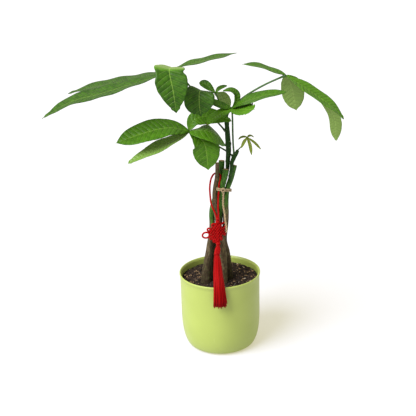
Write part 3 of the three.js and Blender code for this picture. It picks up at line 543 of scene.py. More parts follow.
def tree_bark(old, young):
    """Thin money tree bark: grey-brown with long fibres and lichen, green on young wood, and
    darker near the soil, partly with damp and partly with painted shade, less so on the front
    trunk."""
    made, tree, shader = surface("money_tree_bark", Roughness=0.8, Specular_IOR_Level=0.2)
    place = add(tree, "TexCoord", {}, "Object")
    around = add(tree, "UVMap", {}, uv_map="wrap")
    green = add(tree, "Attribute", {}, "Fac", attribute_name="young")
    fibre = add(tree, "TexNoise", {
        "Vector": add(tree, "Mapping", {"Vector": around, "Scale": (1, 0.16, 1)}),
        "Scale": per_mm(1.3), "Detail": 5, "Roughness": 0.65})
    ring = add(tree, "TexNoise", {
        "Vector": add(tree, "Mapping", {"Vector": around, "Scale": (0.12, 1, 1)}),
        "Scale": per_mm(5), "Detail": 2, "Roughness": 0.5})
    split = add(tree, "TexNoise", {
        "Vector": add(tree, "Mapping", {"Vector": around, "Scale": (1, 0.09, 1)}),
        "Scale": per_mm(0.8), "Detail": 4, "Roughness": 0.7})
    blotch = add(tree, "TexNoise", {
        "Vector": place, "Scale": per_mm(9), "Detail": 4, "Roughness": 0.6})

    across = add(tree, "SeparateXYZ", {0: place})
    forward, height = across.node.outputs["Y"], across.node.outputs["Z"]
    front = add(tree, "Math", {
        0: add(tree, "MapRange", {0: across, 1: -0.014, 2: -0.008}, **EASED),
        1: add(tree, "MapRange", {0: forward, 1: -0.016, 2: -0.011, 3: 1, 4: 0}, **EASED),
    }, operation="MULTIPLY")
    # Darker towards the soil: partly damp bark, partly painted shade round the trunks' feet
    damp_and_shade = add(tree, "Math", {
        0: add(tree, "MapRange", {0: height, 1: 0.11, 2: 0.19, 3: 0.8, 4: 0}, **EASED),
        1: add(tree, "MapRange", {0: front, 1: 0, 2: 1, 3: 1, 4: 0.25}, **EASED),
    }, operation="MULTIPLY")

    bark = add(tree, "Mix", {
        0: add(tree, "MapRange", {0: fibre, 1: 0.34, 2: 0.64}, **EASED),
        6: linear("#33281B"), 7: old}, 2, **COLOUR_MIX)
    for share, colour in (
        (add(tree, "MapRange", {0: blotch, 1: 0.52, 2: 0.72, 4: 0.38}, **EASED), "#9A8D70"),
        (add(tree, "MapRange", {0: blotch, 1: 0.3, 2: 0.46, 3: 0.5, 4: 0}, **EASED), "#474A2C"),
        (add(tree, "MapRange", {0: split, 1: 0.36, 2: 0.46, 3: 0.8, 4: 0}, **EASED), "#1A130C"),
        # Damp and painted shade at the trunks' feet
        (damp_and_shade, "#1F170C"),
    ):
        bark = add(tree, "Mix", {0: share, 6: bark, 7: linear(colour)}, 2, **COLOUR_MIX)
    fresh = add(tree, "Mix", {
        0: add(tree, "MapRange", {0: fibre, 1: 0.34, 2: 0.62}, **EASED),
        6: linear("#16290B"), 7: young}, 2, **COLOUR_MIX)
    fresh = add(tree, "Mix", {
        0: add(tree, "MapRange", {0: ring, 1: 0.62, 2: 0.72, 4: 0.3}, **EASED),
        6: fresh, 7: linear("#6E7446")}, 2, **COLOUR_MIX)
    edge = add(tree, "Math", {
        0: green, 1: add(tree, "MapRange", {0: fibre, 1: 0.3, 2: 0.7, 3: -0.4, 4: 0.4},
                         **EASED)}, operation="ADD")
    relief = add(tree, "Math", {
        0: fibre, 1: add(tree, "Math", {0: ring, 1: 0.4}, operation="MULTIPLY"),
    }, operation="ADD")
    link(tree, shader,
         Base_Color=add(tree, "Mix", {
             0: add(tree, "MapRange", {0: edge, 1: 0.1, 2: 0.9}, **EASED),
             6: bark, 7: fresh}, 2, **COLOUR_MIX),
         Roughness=add(tree, "MapRange", {0: green, 1: 0, 2: 1, 3: 0.85, 4: 0.6}, **EASED),
         Normal=add(tree, "Bump", {"Height": relief, "Strength": 1, "Distance": 0.5 * MM}))
    return made


def pruned_wood():
    """Dry pruning cut: tan end grain with darker patches."""
    made, tree, shader = surface("pruned_end_grain", Roughness=0.85)
    place = add(tree, "TexCoord", {}, "Object")
    patch = add(tree, "TexNoise", {
        "Vector": place, "Scale": per_mm(1.4), "Detail": 4, "Roughness": 0.6})
    pores = add(tree, "TexNoise", {
        "Vector": place, "Scale": per_mm(0.7), "Detail": 3, "Roughness": 0.55})
    link(tree, shader,
         Base_Color=add(tree, "Mix", {
             0: add(tree, "MapRange", {0: patch, 1: 0.35, 2: 0.65}, **EASED),
             6: linear("#6E5236"), 7: linear("#C2A377")}, 2, **COLOUR_MIX),
         Normal=add(tree, "Bump", {"Height": pores, "Strength": 1, "Distance": 0.25 * MM}))
    return made


def shoot_bark(colour):
    """Smooth green bark of this year's shoots, with small pale pores."""
    made, tree, shader = surface("green_shoot_bark", Roughness=0.5, Specular_IOR_Level=0.15)
    around = add(tree, "UVMap", {}, uv_map="wrap")
    streak = add(tree, "TexNoise", {
        "Vector": add(tree, "Mapping", {"Vector": around, "Scale": (1, 0.12, 1)}),
        "Scale": per_mm(1.1), "Detail": 4, "Roughness": 0.6})
    dots = add(tree, "TexNoise", {
        "Vector": add(tree, "TexCoord", {}, "Object"), "Scale": per_mm(1.6), "Detail": 1,
        "Roughness": 0.55})
    shade = add(tree, "Mix", {
        0: add(tree, "MapRange", {0: streak, 1: 0.35, 2: 0.65}, **EASED),
        6: dimmed(colour, 0.55), 7: colour}, 2, **COLOUR_MIX)
    link(tree, shader,
         Base_Color=add(tree, "Mix", {
             0: add(tree, "MapRange", {0: dots, 1: 0.68, 2: 0.74, 4: 0.6}, **EASED),
             6: shade, 7: linear("#9AA66C")}, 2, **COLOUR_MIX),
         Normal=add(tree, "Bump", {"Height": streak, "Strength": 1, "Distance": 0.15 * MM}))
    return made


def leaf_skin(name, dark, light, vein_colour, rough, depth, gloss):
    """Leaf surface: a pale midrib, side veins that curve to the tip, and a waxy sheen, with
    painted highlights on the swells between the side veins and a painted pale sheen where the
    tint runs above 1.2. Its relief is that many mm deep."""
    made, tree, shader = surface(name, Roughness=rough, IOR=1.42, Specular_IOR_Level=gloss)
    place = add(tree, "TexCoord", {}, "Object")
    tint = add(tree, "Attribute", {}, "Fac", attribute_name="tint")
    dry = add(tree, "Attribute", {}, "Fac", attribute_name="dry")
    mottle = add(tree, "TexNoise", {
        "Vector": place, "Scale": per_mm(6), "Detail": 4, "Roughness": 0.6})
    grit = add(tree, "TexNoise", {
        "Vector": place, "Scale": per_mm(0.9), "Detail": 3, "Roughness": 0.55})

    # The map runs across the blade from 0 to 1, and along it by one for each side vein
    beside = add(tree, "SeparateXYZ", {0: add(tree, "UVMap", {}, uv_map="veins")})
    run = beside.node.outputs["Y"]
    across = add(tree, "Math", {
        0: add(tree, "Math", {0: beside, 1: 0.5}, operation="SUBTRACT")}, operation="ABSOLUTE")
    rib = add(tree, "MapRange", {0: across, 1: 0.003, 2: 0.021, 3: 1, 4: 0}, **EASED)
    step = add(tree, "Math", {0: run}, operation="FRACT")
    ridge = add(tree, "Math", {
        0: add(tree, "Math", {0: step, 1: 0.5}, operation="SUBTRACT")}, operation="ABSOLUTE")
    side_vein = add(tree, "Math", {
        0: add(tree, "MapRange", {0: ridge, 1: 0.42, 2: 0.49}, **EASED),
        1: add(tree, "MapRange", {0: across, 1: 0.3, 2: 0.48, 3: 1, 4: 0}, **EASED),
    }, operation="MULTIPLY")
    swell = add(tree, "MapRange", {0: ridge, 1: 0.1, 2: 0.5, 3: 1, 4: 0}, **EASED)

    shade = add(tree, "Math", {
        0: tint, 1: add(tree, "MapRange", {0: mottle, 1: 0.3, 2: 0.7, 3: -0.22, 4: 0.22},
                        **EASED)}, operation="ADD")
    blade = add(tree, "Mix", {0: shade, 6: dark, 7: light}, 2, **COLOUR_MIX)
    for share, colour in (
        # Tints above 1.2 turn pale: partly a paler leaflet, partly painted light that lifts a
        # leaflet lying in shade and paints the sheen of a flat base
        (add(tree, "MapRange", {0: tint, 1: 1.2, 2: 2.6, 4: 0.8}, **EASED), linear("#7B9450")),
        # Painted highlight on the swells between the side veins, where they catch the light
        (add(tree, "Math", {0: swell, 1: 0.16}, operation="MULTIPLY"), light),
        (add(tree, "Math", {0: side_vein, 1: 0.2}, operation="MULTIPLY"), vein_colour),
        (add(tree, "Math", {0: rib, 1: 0.42}, operation="MULTIPLY"), vein_colour),
        (dry, linear("#4A3A14")),
    ):
        blade = add(tree, "Mix", {0: share, 6: blade, 7: colour}, 2, **COLOUR_MIX)

    rough_swell = add(tree, "Math", {
        0: swell, 1: add(tree, "Math", {0: grit, 1: 0.35}, operation="MULTIPLY"),
    }, operation="ADD")
    relief = add(tree, "Math", {
        0: rough_swell, 1: add(tree, "Math", {0: side_vein, 1: 0.6}, operation="MULTIPLY"),
    }, operation="SUBTRACT")
    link(tree, shader, Base_Color=blade,
         Normal=add(tree, "Bump", {"Height": relief, "Strength": 1, "Distance": depth * MM}))
    return made


def leaf_stalk():
    """Leaf stalk: smooth green, a little paler than the shoots."""
    made, tree, shader = surface("leaf_stalk", Roughness=0.5, IOR=1.42)
    place = add(tree, "TexCoord", {}, "Object")
    patch = add(tree, "TexNoise", {
        "Vector": place, "Scale": per_mm(3), "Detail": 3, "Roughness": 0.55})
    streak = add(tree, "TexNoise", {
        "Vector": add(tree, "Mapping", {"Vector": place, "Scale": (1, 1, 0.3)}),
        "Scale": per_mm(0.8), "Detail": 3, "Roughness": 0.55})
    link(tree, shader,
         Base_Color=add(tree, "Mix", {
             0: add(tree, "MapRange", {0: patch, 1: 0.35, 2: 0.65}, **EASED),
             6: linear("#1E3A0C"), 7: linear("#35601C")}, 2, **COLOUR_MIX),
         Normal=add(tree, "Bump", {"Height": streak, "Strength": 1, "Distance": 0.08 * MM}))
    return made


def jute(colour):
    """Two-ply jute twine: matte, with fine fibres that follow the twist."""
    made, tree, shader = surface("twisted_jute", Roughness=0.95, Sheen_Weight=0.3)
    along = add(tree, "UVMap", {}, uv_map="wrap")
    fibre = add(tree, "TexNoise", {
        "Vector": add(tree, "Mapping", {"Vector": along, "Scale": (1, 0.18, 1)}),
        "Scale": per_mm(0.55), "Detail": 4, "Roughness": 0.7})
    link(tree, shader,
         Base_Color=add(tree, "Mix", {
             0: add(tree, "MapRange", {0: fibre, 1: 0.32, 2: 0.66}, **EASED),
             6: linear("#6E5B3D"), 7: colour}, 2, **COLOUR_MIX),
         Normal=add(tree, "Bump", {"Height": fibre, "Strength": 1, "Distance": 0.22 * MM}))
    return made


def red_braid(colour):
    """Braided rayon cord: a fine herringbone of shiny threads. The braid is drawn 0.9 mm
    long so that it shows."""
    made, tree, shader = surface("braided_red_rayon", Roughness=0.55, Specular_IOR_Level=0.08)
    around = add(tree, "SeparateXYZ", {0: add(tree, "UVMap", {}, uv_map="wrap")})
    turn = add(tree, "Math", {0: around, 1: per_mm(0.6)}, operation="MULTIPLY")
    run = add(tree, "Math", {0: around.node.outputs["Y"], 1: per_mm(0.9)}, operation="MULTIPLY")
    threads = []
    for way in ("ADD", "SUBTRACT"):
        slant = add(tree, "Math", {0: turn, 1: run}, operation=way)
        threads.append(add(tree, "Math", {
            0: add(tree, "Math", {0: slant, 1: 3.14}, operation="MULTIPLY")}, operation="SINE"))
    weave = add(tree, "Math", {0: threads[0], 1: threads[1]}, operation="MAXIMUM")
    link(tree, shader,
         Base_Color=add(tree, "Mix", {
             0: add(tree, "MapRange", {0: weave, 1: -0.3, 2: 0.9}, **EASED),
             6: dimmed(colour, 0.62), 7: colour}, 2, **COLOUR_MIX),
         Normal=add(tree, "Bump", {"Height": weave, "Strength": 1, "Distance": 0.07 * MM}))
    return made


def tassel_rayon(colour):
    """Loose rayon threads: silky, each thread a slightly different red; a low tint paints the
    core dark, as shade between the threads.
    """
    made, tree, shader = surface("rayon_tassel_thread", Roughness=0.5, Specular_IOR_Level=0.06)
    tint = add(tree, "Attribute", {}, "Fac", attribute_name="tint")
    strand = add(tree, "TexNoise", {
        "Vector": add(tree, "Mapping", {
            "Vector": add(tree, "TexCoord", {}, "Object"), "Scale": (1, 1, 0.1)}),
        "Scale": per_mm(0.5), "Detail": 2, "Roughness": 0.55})
    link(tree, shader,
         Base_Color=add(tree, "Mix", {0: tint, 6: dimmed(colour, 0.16), 7: colour}, 2,
                        **COLOUR_MIX),
         Normal=add(tree, "Bump", {"Height": strand, "Strength": 1, "Distance": 0.08 * MM}))
    return made


def glowing_floor(colour):
    """Plain floor with a painted glow: its cream emission keeps shadows pale and creamy, and
    with its bluish base colour the lit floor is white."""
    made, tree, shader = surface("floor_painted_glow", Roughness=0.9, Emission_Strength=1,
                                 Emission_Color=linear("#BCB695"))
    cloud = add(tree, "TexNoise", {
        "Vector": add(tree, "TexCoord", {}, "Object"), "Scale": per_mm(300), "Detail": 2,
        "Roughness": 0.55})
    link(tree, shader, Base_Color=add(tree, "Mix", {
        0: add(tree, "MapRange", {0: cloud, 1: 0.3, 2: 0.7, 4: 0.04}, **EASED),
        6: colour, 7: dimmed(colour, 0.96)}, 2, **COLOUR_MIX))
    return made


# Shapes

def route(points, count, closed=False):
    """Places along a smooth curve through the points, evenly in the curve's own measure."""
    knots = [Vector(p[:3]) for p in points]
    total = len(knots)
    places = []
    for i in range(count + 1):
        run = i / count * (total if closed else total - 1)
        low = min(int(run), total - (1 if closed else 2))
        weight = run - low
        one, two = knots[low % total], knots[(low + 1) % total]
        before = knots[(low - 1) % total] if closed or low > 0 else 2 * one - two
        after = knots[(low + 2) % total] if closed or low + 2 < total else 2 * two - one
        gaps = [max((b - a).length ** 0.5, 1e-4)
                for a, b in ((before, one), (one, two), (two, after))]
        out = ((one - before) / gaps[0] - (two - before) / (gaps[0] + gaps[1])
               + (two - one) / gaps[1]) * gaps[1]
        into = ((two - one) / gaps[1] - (after - one) / (gaps[1] + gaps[2])
                + (after - two) / gaps[2]) * gaps[1]
        square, cube = weight ** 2, weight ** 3
        places.append(one * (2 * cube - 3 * square + 1) + out * (cube - 2 * square + weight)
                      + two * (3 * square - 2 * cube) + into * (cube - square))
    return places


def even(places, shares):
    """Places at those shares of the length along a row of places."""
    sums = [0.0]
    for a, b in zip(places, places[1:]):
        sums.append(sums[-1] + (b - a).length)
    found, i = [], 0
    for share in shares:
        goal = share * sums[-1]
        while i < len(places) - 2 and sums[i + 1] < goal:
            i += 1
        step = max(sums[i + 1] - sums[i], 1e-9)
        found.append(places[i].lerp(places[i + 1], (goal - sums[i]) / step))
    return found, sums[-1]


def frames(places, closed=False):
    """A pair of directions across the path at each place, without twist."""
    last = len(places) - 1
    across, pairs = Vector((1, 0.2, 0.1)), []
    for i in range(last + 1):
        if closed:
            along = (places[(i + 1) % last] - places[(i - 1) % last]).normalized()
        else:
            along = (places[min(i + 1, last)] - places[max(i - 1, 0)]).normalized()
        across = (across - along * across.dot(along)).normalized()
        pairs.append((across.copy(), along.cross(across)))
    return pairs


def grid(bm, across, along, layer):
    """A square sheet of quads: its vertices with their place from 0 to 1 in both ways."""
    made = bmesh.ops.create_grid(bm, x_segments=across, y_segments=along, size=1,
                                 calc_uvs=False)["verts"]
    low = min(v.co.x for v in made)
    span = -2 * low
    spots = [(v, (v.co.x - low) / span, (v.co.y - low) / span) for v in made]
    layers = bm.loops.layers.uv.get(layer) or bm.loops.layers.uv.new(layer)
    for v, u, t in spots:
        for corner in v.link_loops:
            corner[layers].uv = (u, t)
    return spots


def tube(bm, places, reach, sides, closed=False, marks=None):
    """A sheet rolled round a path, in mm. reach(share, turn) is its radius. The map holds
    the way round and the way along in metres."""
    pairs = frames(places, closed)
    last = len(places) - 1
    spots = grid(bm, sides, last, "wrap")
    uv = bm.loops.layers.uv["wrap"]
    _, length = even(places, [0])
    girth = 2 * math.pi * max(reach(0.5, 0), 0.1)
    rows = {}
    for v, u, t in spots:
        i = round(t * last)
        turn = 2 * math.pi * u
        side, third = pairs[i]
        radius = reach(t, turn)
        v.co = (places[i] + side * (radius * math.cos(turn)) + third * (radius * math.sin(turn)))
        v.co = v.co * MM + PLANT_OFFSET
        rows.setdefault(i, []).append(v)
        for corner in v.link_loops:
            corner[uv].uv = (u * girth * MM, t * length * MM)
        if marks:
            for mark, value in marks(t, turn, v.co).items():
                v[mark] = value
    bmesh.ops.remove_doubles(bm, verts=[v for v, _, _ in spots], dist=1e-6)
    if not closed:
        for i in (0, last):
            rim = {v for v in rows[i] if v.is_valid}
            edges = [e for v in rim for e in v.link_edges if e.other_vert(v) in rim]
            bmesh.ops.contextual_create(bm, geom=list(set(edges)))
    return rows


def gather(bm, part):
    """Adds a small mesh to a large one and frees it, far faster than growing one mesh."""
    mesh = bpy.data.meshes.new("part")
    part.to_mesh(mesh)
    part.free()
    bm.from_mesh(mesh)
    bpy.data.meshes.remove(mesh)


def finished(bm, name, materials, nodes=(), *, smooth=True):
    """An object of the mesh that rides on the part, shows in place of the nodes and wears
    the materials."""
    bmesh.ops.recalc_face_normals(bm, faces=bm.faces)
    mesh = bpy.data.meshes.new(name)
    bm.to_mesh(mesh)
    bm.free()
    for polygon in mesh.polygons:
        polygon.use_smooth = smooth
    made = bpy.data.objects.new(name, mesh)
    bpy.context.scene.collection.objects.link(made)
    for one in materials:
        mesh.materials.append(one)
    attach(made, "root")
    if nodes:
        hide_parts(*nodes)
    return made


def pot_reach(height):
    """Radius of the pot's outside below the rim, in mm."""
    depth = max(0.0, 1 - height / CORNER_HEIGHT)
    inset = 1 - (1 - depth ** CORNER_POWER) ** (1 / CORNER_POWER)
    return bpy.context.scene.money_tree_pot.wall_radius / MM - CORNER_INSET * inset


def soil_level(x, y):
    """Height of the soil's surface at a place in mm."""
    wide = math.sin(x * 0.21 + 1) * math.cos(y * 0.17) + 0.5 * math.sin(x * 0.43 - y * 0.37)
    small = noise.noise((x * 0.28, y * 0.28, 4)) + 0.6 * noise.noise((x * 0.7, y * 0.7, 9))
    relief = bpy.context.scene.money_tree_soil.relief / MM
    return bpy.context.scene.money_tree_soil.top / MM + 0.55 * wide + relief * small


def in_trunk(x, y, margin):
    """Whether a place on the soil lies inside a trunk's foot."""
    feet = [points[-2] for points in TRUNKS.values()]
    return any(math.hypot(x - foot[0], y - foot[1]) < foot[3] + margin for foot in feet)


# Operators

class StageOperator(bpy.types.Operator):
    """Makes the camera, the plain floor and the soft lights"""
    bl_idname = "money_tree.stage"
    bl_label = "Camera, floor and lights"

    def execute(self, context):
        settings = context.scene.money_tree_stage
        context.scene.view_settings.view_transform = "Standard"
        lens = bpy.data.cameras.new("camera")
        lens.lens = settings.lens
        lens.sensor_width = 36
        lens.clip_end = 100
        camera = bpy.data.objects.new("camera", lens)
        camera.matrix_world = (Matrix.Translation(CAMERA_PLACE)
                               @ Matrix.Rotation(math.radians(90 - CAMERA_DOWN), 4, "X")
                               @ Matrix.Rotation(CAMERA_ROLL, 4, "Z"))
        context.scene.collection.objects.link(camera)
        context.scene.camera = camera

        bm = bmesh.new()
        bmesh.ops.create_circle(bm, cap_ends=True, segments=64, radius=FLOOR_RADIUS)
        mesh = bpy.data.meshes.new("floor")
        bm.to_mesh(mesh)
        bm.free()
        floor = bpy.data.objects.new("floor", mesh)
        mesh.materials.append(glowing_floor(list(settings.floor)))
        context.scene.collection.objects.link(floor)

        # The key is so wide that its shadows fade within a hand's breadth
        lamp = bpy.data.lights.new("key", "SUN")
        lamp.energy = settings.key
        lamp.angle = math.radians(KEY_WIDTH)
        light = bpy.data.objects.new("key", lamp)
        light.location = KEY_PLACE
        light.rotation_euler = (-light.location).to_track_quat("-Z", "Y").to_euler()
        context.scene.collection.objects.link(light)

        world = bpy.data.worlds.new("warm_white_room")
        world.use_nodes = True
        sky = world.node_tree.nodes["Background"]
        sky.inputs["Color"].default_value = linear("#FFF9E5")
        sky.inputs["Strength"].default_value = settings.sky
        context.scene.world = world
        return {"FINISHED"}


def knot_place(along, up, lift=0.0):
    """Place on the woven knot in mm: its right half bends back round the trunks."""
    back = KNOT_BEND * along * along if along > 0 else 0
    return Vector((KNOT_CENTRE[0] + along, KNOT_CENTRE[1] + back + lift, KNOT_CENTRE[2] + up))


def knot_crossing(offset, run, way, lift=0.0):
    """Place on the knot where a cord, at its offset of those laid one way, has run from -1
    to 1."""
    return knot_place((offset + run) / 2 * KNOT_HALF_WIDTH,
                      (offset - run) / 2 * KNOT_HALF_HEIGHT * way, lift)


class KnotOperator(bpy.types.Operator):
    """Weaves the charm's diamond knot with its edge loops and its button knots"""
    bl_idname = "money_tree.knot"
    bl_label = "Woven knot"

    def execute(self, context):
        bm = bmesh.new()
        middle = (KNOT_CORDS - 1) / 2
        for way in (1, -1):
            for k in range(KNOT_CORDS):
                offset = (k - middle) / (middle + 0.5)
                points = []
                for i in range(2 * KNOT_CORDS + 1):
                    run = (i - KNOT_CORDS) / KNOT_CORDS
                    over = math.sin((i / 2 + k) * math.pi) * KNOT_RISE * way
                    points.append(knot_crossing(offset, run, way, over))
                tube(bm, route(points, 34), lambda t, a: KNOT_CORD_RADIUS, 8)
            # Small turns that join each pair of cords at the diamond's edges
            for k in range(0, KNOT_CORDS, 2):
                for end in (-1, 1):
                    points = []
                    for i in range(7):
                        swing = math.pi * i / 6
                        offset = (k + 0.5 - middle - 0.5 * math.cos(swing)) / (middle + 0.5)
                        run = end * (1 + 0.16 * math.sin(swing))
                        points.append(knot_crossing(offset, run, way))
                    tube(bm, route(points, 12), lambda t, a: KNOT_CORD_RADIUS, 8)
        for along, up, size, turn in KNOT_EARS:
            loop = []
            lean = math.atan2(up, along)
            for i in range(12):
                swing = 2 * math.pi * i / 12
                x = size * 1.12 * math.cos(swing)
                z = size * 0.9 * math.sin(swing)
                spot = Vector((x * math.cos(lean) - z * math.sin(lean), 0,
                               x * math.sin(lean) + z * math.cos(lean)))
                spot.rotate(Matrix.Rotation(turn, 3, "Z"))
                loop.append(knot_place(along, up) + spot)
            tube(bm, route(loop, 28, True), lambda t, a: EAR_CORD_RADIUS, 10, closed=True)
        # Buttons: three crossing turns of cord each, round a core
        for spot, size in BUTTONS:
            core = bmesh.ops.create_uvsphere(bm, u_segments=16, v_segments=10,
                                             radius=(size - 1) * MM)["verts"]
            bmesh.ops.translate(bm, verts=core, vec=Vector(spot) * MM + PLANT_OFFSET)
            for tilt in BUTTON_TILTS:
                loop = []
                for i in range(12):
                    swing = 2 * math.pi * i / 12
                    place = Vector((math.cos(swing), math.sin(swing), 0)) * (size - 0.95)
                    place.z = 0.35 * math.sin(2 * swing)
                    place.rotate(Matrix.Rotation(tilt, 3, "Y"))
                    loop.append(Vector(spot) + place)
                tube(bm, route(loop, 28, True), lambda t, a: BUTTON_CORD_RADIUS, 8,
                     closed=True)
        finished(bm, "charm_knot_weave", [red_braid(list(context.scene.money_tree_charm.red))],
                 ["charm_knot"])
        return {"FINISHED"}


class TasselOperator(bpy.types.Operator):
    """Hangs the tassel: its bound head and its skirt of loose threads"""
    bl_idname = "money_tree.tassel"
    bl_label = "Tassel"

    def execute(self, context):
        chance = random.Random(11)
        spine = route(TASSEL, STATIONS)
        widths = route([[r[3], r[4], 0] for r in TASSEL], STATIONS)
        sides = []
        for i in range(STATIONS + 1):
            along = (spine[min(i + 1, STATIONS)] - spine[max(i - 1, 0)]).normalized()
            sides.append(along.cross(Vector((1, 0, 0))).normalized())
        bm = bmesh.new()
        tint = bm.verts.layers.float.new("tint")

        def body(t, turn):
            i = round(t * STATIONS)
            wide, deep = widths[i].x, widths[i].y
            spread = 0.86 if t > 0.3 else 0.97
            return spread * wide * deep / math.hypot(deep * math.cos(turn),
                                                     wide * math.sin(turn))
        core = grid(bm, 28, STATIONS, "wrap")
        for v, u, t in core:
            i, turn = round(t * STATIONS), 2 * math.pi * u
            reach = body(t, turn)
            end = 0.94 if t > 0.97 else 1
            v.co = (spine[i] + Vector((reach * math.cos(turn) * end, 0, 0))
                    + sides[i] * reach * math.sin(turn) * end) * MM + PLANT_OFFSET
            # The core is painted darker than the threads, as shade deep among them
            v[tint] = 0.25
        bmesh.ops.remove_doubles(bm, verts=[v for v, _, _ in core], dist=1e-6)
        bmesh.ops.holes_fill(bm, edges=[e for e in bm.edges if e.is_boundary], sides=0)

        share = context.scene.money_tree_charm.threads // LOCKS
        for lock in range(LOCKS):
            middle = 2 * math.pi * (lock + 0.5) / LOCKS
            flare, tail, tone = (chance.uniform(0.9, 1.06), chance.uniform(-2.2, 0.8),
                                 chance.uniform(0.45, 1))
            loose = lock == LOOSE_LOCK
            part = bmesh.new()
            mark = part.verts.layers.float.new("tint")
            for k in range(share):
                inner = k % 5 == 0
                turn = middle + 2 * math.pi * ((k + chance.random()) / share - 0.5) / LOCKS
                start = INNER_START if inner else OUTER_START
                stray = chance.uniform(-1, 1) * (2.2 if chance.random() < 0.06 else 0.35)
                drop = tail + chance.uniform(-0.7, 0.7) + (LOOSE_DROP if loose else 0)
                points = []
                for i in range(start, STATIONS + 1, 3):
                    t = (i - start) / (STATIONS - start)
                    swing = turn + (middle - turn) * 0.5 * t + 0.05 * math.sin(5 * t + lock)
                    spread = 0.72 if inner else 0.9 + (flare - 0.9) * t
                    wide = (widths[i].x * spread
                            + (stray + (LOOSE_SPREAD if loose else 0)) * t * t)
                    spot = (spine[i] + Vector((wide * math.cos(swing), 0, 0))
                            + sides[i] * widths[i].y * spread * math.sin(swing))
                    spot.x += 0.25 * noise.noise((turn * 9, i * 0.11, 0))
                    spot.z += drop * max(0.0, t - 0.9) * 10
                    points.append(spot)
                shade = tone * chance.uniform(0.6, 1.0)
                tube(part, route(points, 11), lambda t, a: THREAD_RADIUS - 0.14 * t, 4,
                     marks=lambda t, a, p: {mark: shade})
            gather(bm, part)

        # Head: upright threads over a core, under a wrapped neck that meets the button
        tint = bm.verts.layers.float["tint"]
        tube(bm, route([list(BUTTONS[-1][0]), list(spine[0]), list(spine[3])], 8),
             lambda t, a: NECK_RADIUS + 0.8 * t, 12, marks=lambda t, a, p: {tint: 0.6})
        for k in range(HEAD_THREADS):
            turn = 2 * math.pi * k / HEAD_THREADS
            points = []
            for i in range(0, 22, 3):
                spot = (spine[i] + Vector((widths[i].x * 0.98 * math.cos(turn), 0, 0))
                        + sides[i] * widths[i].y * 0.98 * math.sin(turn))
                points.append(spot)
            shade = chance.uniform(0.6, 1.0)
            tube(bm, route(points, 12), lambda t, a: HEAD_THREAD_RADIUS, 6,
                 marks=lambda t, a, p: {tint: shade})
        for i in range(BINDING_START, BINDING_START + BINDING_TURNS):
            loop = []
            for j in range(16):
                turn = 2 * math.pi * j / 16
                loop.append(spine[i] + Vector(((widths[i].x + 0.35) * math.cos(turn), 0, 0))
                            + sides[i] * (widths[i].y + 0.35) * math.sin(turn))
            tube(bm, route(loop, 32, True), lambda t, a: BINDING_RADIUS, 6, closed=True,
                 marks=lambda t, a, p: {tint: 0.55})
        finished(bm, "charm_tassel_threads",
                 [tassel_rayon(list(context.scene.money_tree_charm.red))], ["charm_tassel"])
        return {"FINISHED"}


def lay_plies(bm, path, diameter, turns, sides, fullness, closed=False):
    """Lays the two plies of a twine of that diameter round a path. Their fullness is their
    own thickness as a share of half the twine's."""
    pairs = frames(path, closed)
    ply = diameter / 4 / MM
    for half in (0, math.pi):
        coil = []
        for i, place in enumerate(path):
            swing = half + 2 * math.pi * turns * i / (len(path) - 1)
            side, third = pairs[i]
            coil.append(place + side * (ply * PLY_REACH * math.cos(swing))
                        + third * (ply * PLY_REACH * math.sin(swing)))
        if closed:
            coil[-1] = coil[0].copy()
        tube(bm, coil, lambda t, a: ply * fullness, sides, closed)


class CordOperator(bpy.types.Operator):
    """Hangs the charm's cord loop and the twine's tail"""
    bl_idname = "money_tree.cords"
    bl_label = "Hanging cords"

    def execute(self, context):
        settings = context.scene.money_tree_charm
        whole = route([BUTTONS[0][0]] + CHARM_CORD_ROUTE + CHARM_CORE_ROUTE, 500)
        path, length = even(whole, [i / 39 for i in range(40)])
        bm = bmesh.new()
        radius = settings.cord_diameter / 2 / MM
        tube(bm, route(path, 234), lambda t, a: radius, 12)
        cord = finished(bm, "charm_cord_loop", [bpy.data.materials["braided_red_rayon"]],
                        ["charm_cord"])

        path, length = even(route(TAIL_ROUTE, 300), [i / 24 for i in range(25)])
        fine = route(path, 150)
        bm = bmesh.new()
        lay_plies(bm, fine, settings.tail_diameter, length / TWIST_PITCH, 10, fullness=1.06)
        tail = finished(bm, "twine_tail_plies", [jute(list(settings.twine))], ["twine_tail"])
        return {"FINISHED"}


class TieOperator(bpy.types.Operator):
    """Winds the twisted twine twice round the trunks and knots it in front"""
    bl_idname = "money_tree.tie"
    bl_label = "Twine tie"

    def execute(self, context):
        settings = context.scene.money_tree_charm
        bm = bmesh.new()
        loops = []
        for height in TIE_HEIGHTS:
            loops.append([[x, y, height + TIE_SLOPE[0] * (x - TIE_KNOT[0])
                           + TIE_SLOPE[1] * (y - TIE_KNOT[1])] for x, y in TIE_ROUTE])
        for size, tilt in TIE_LOOPS:
            loops.append([[TIE_KNOT[0] + size * math.cos(a), TIE_KNOT[1] + tilt * math.sin(a) * 2,
                           TIE_KNOT[2] + size * math.sin(a)]
                          for a in (2 * math.pi * i / 10 for i in range(10))])
        for loop in loops:
            count = 220 if len(loop) > 10 else 60
            fine = route(loop, count, True)
            _, length = even(fine, [0])
            turns = max(2, round(length / TWIST_PITCH))
            lay_plies(bm, fine, settings.twine_diameter, turns, 8, fullness=1.08, closed=True)
        finished(bm, "twine_tie_plies", [bpy.data.materials["twisted_jute"]], ["twine_tie"])
        return {"FINISHED"}


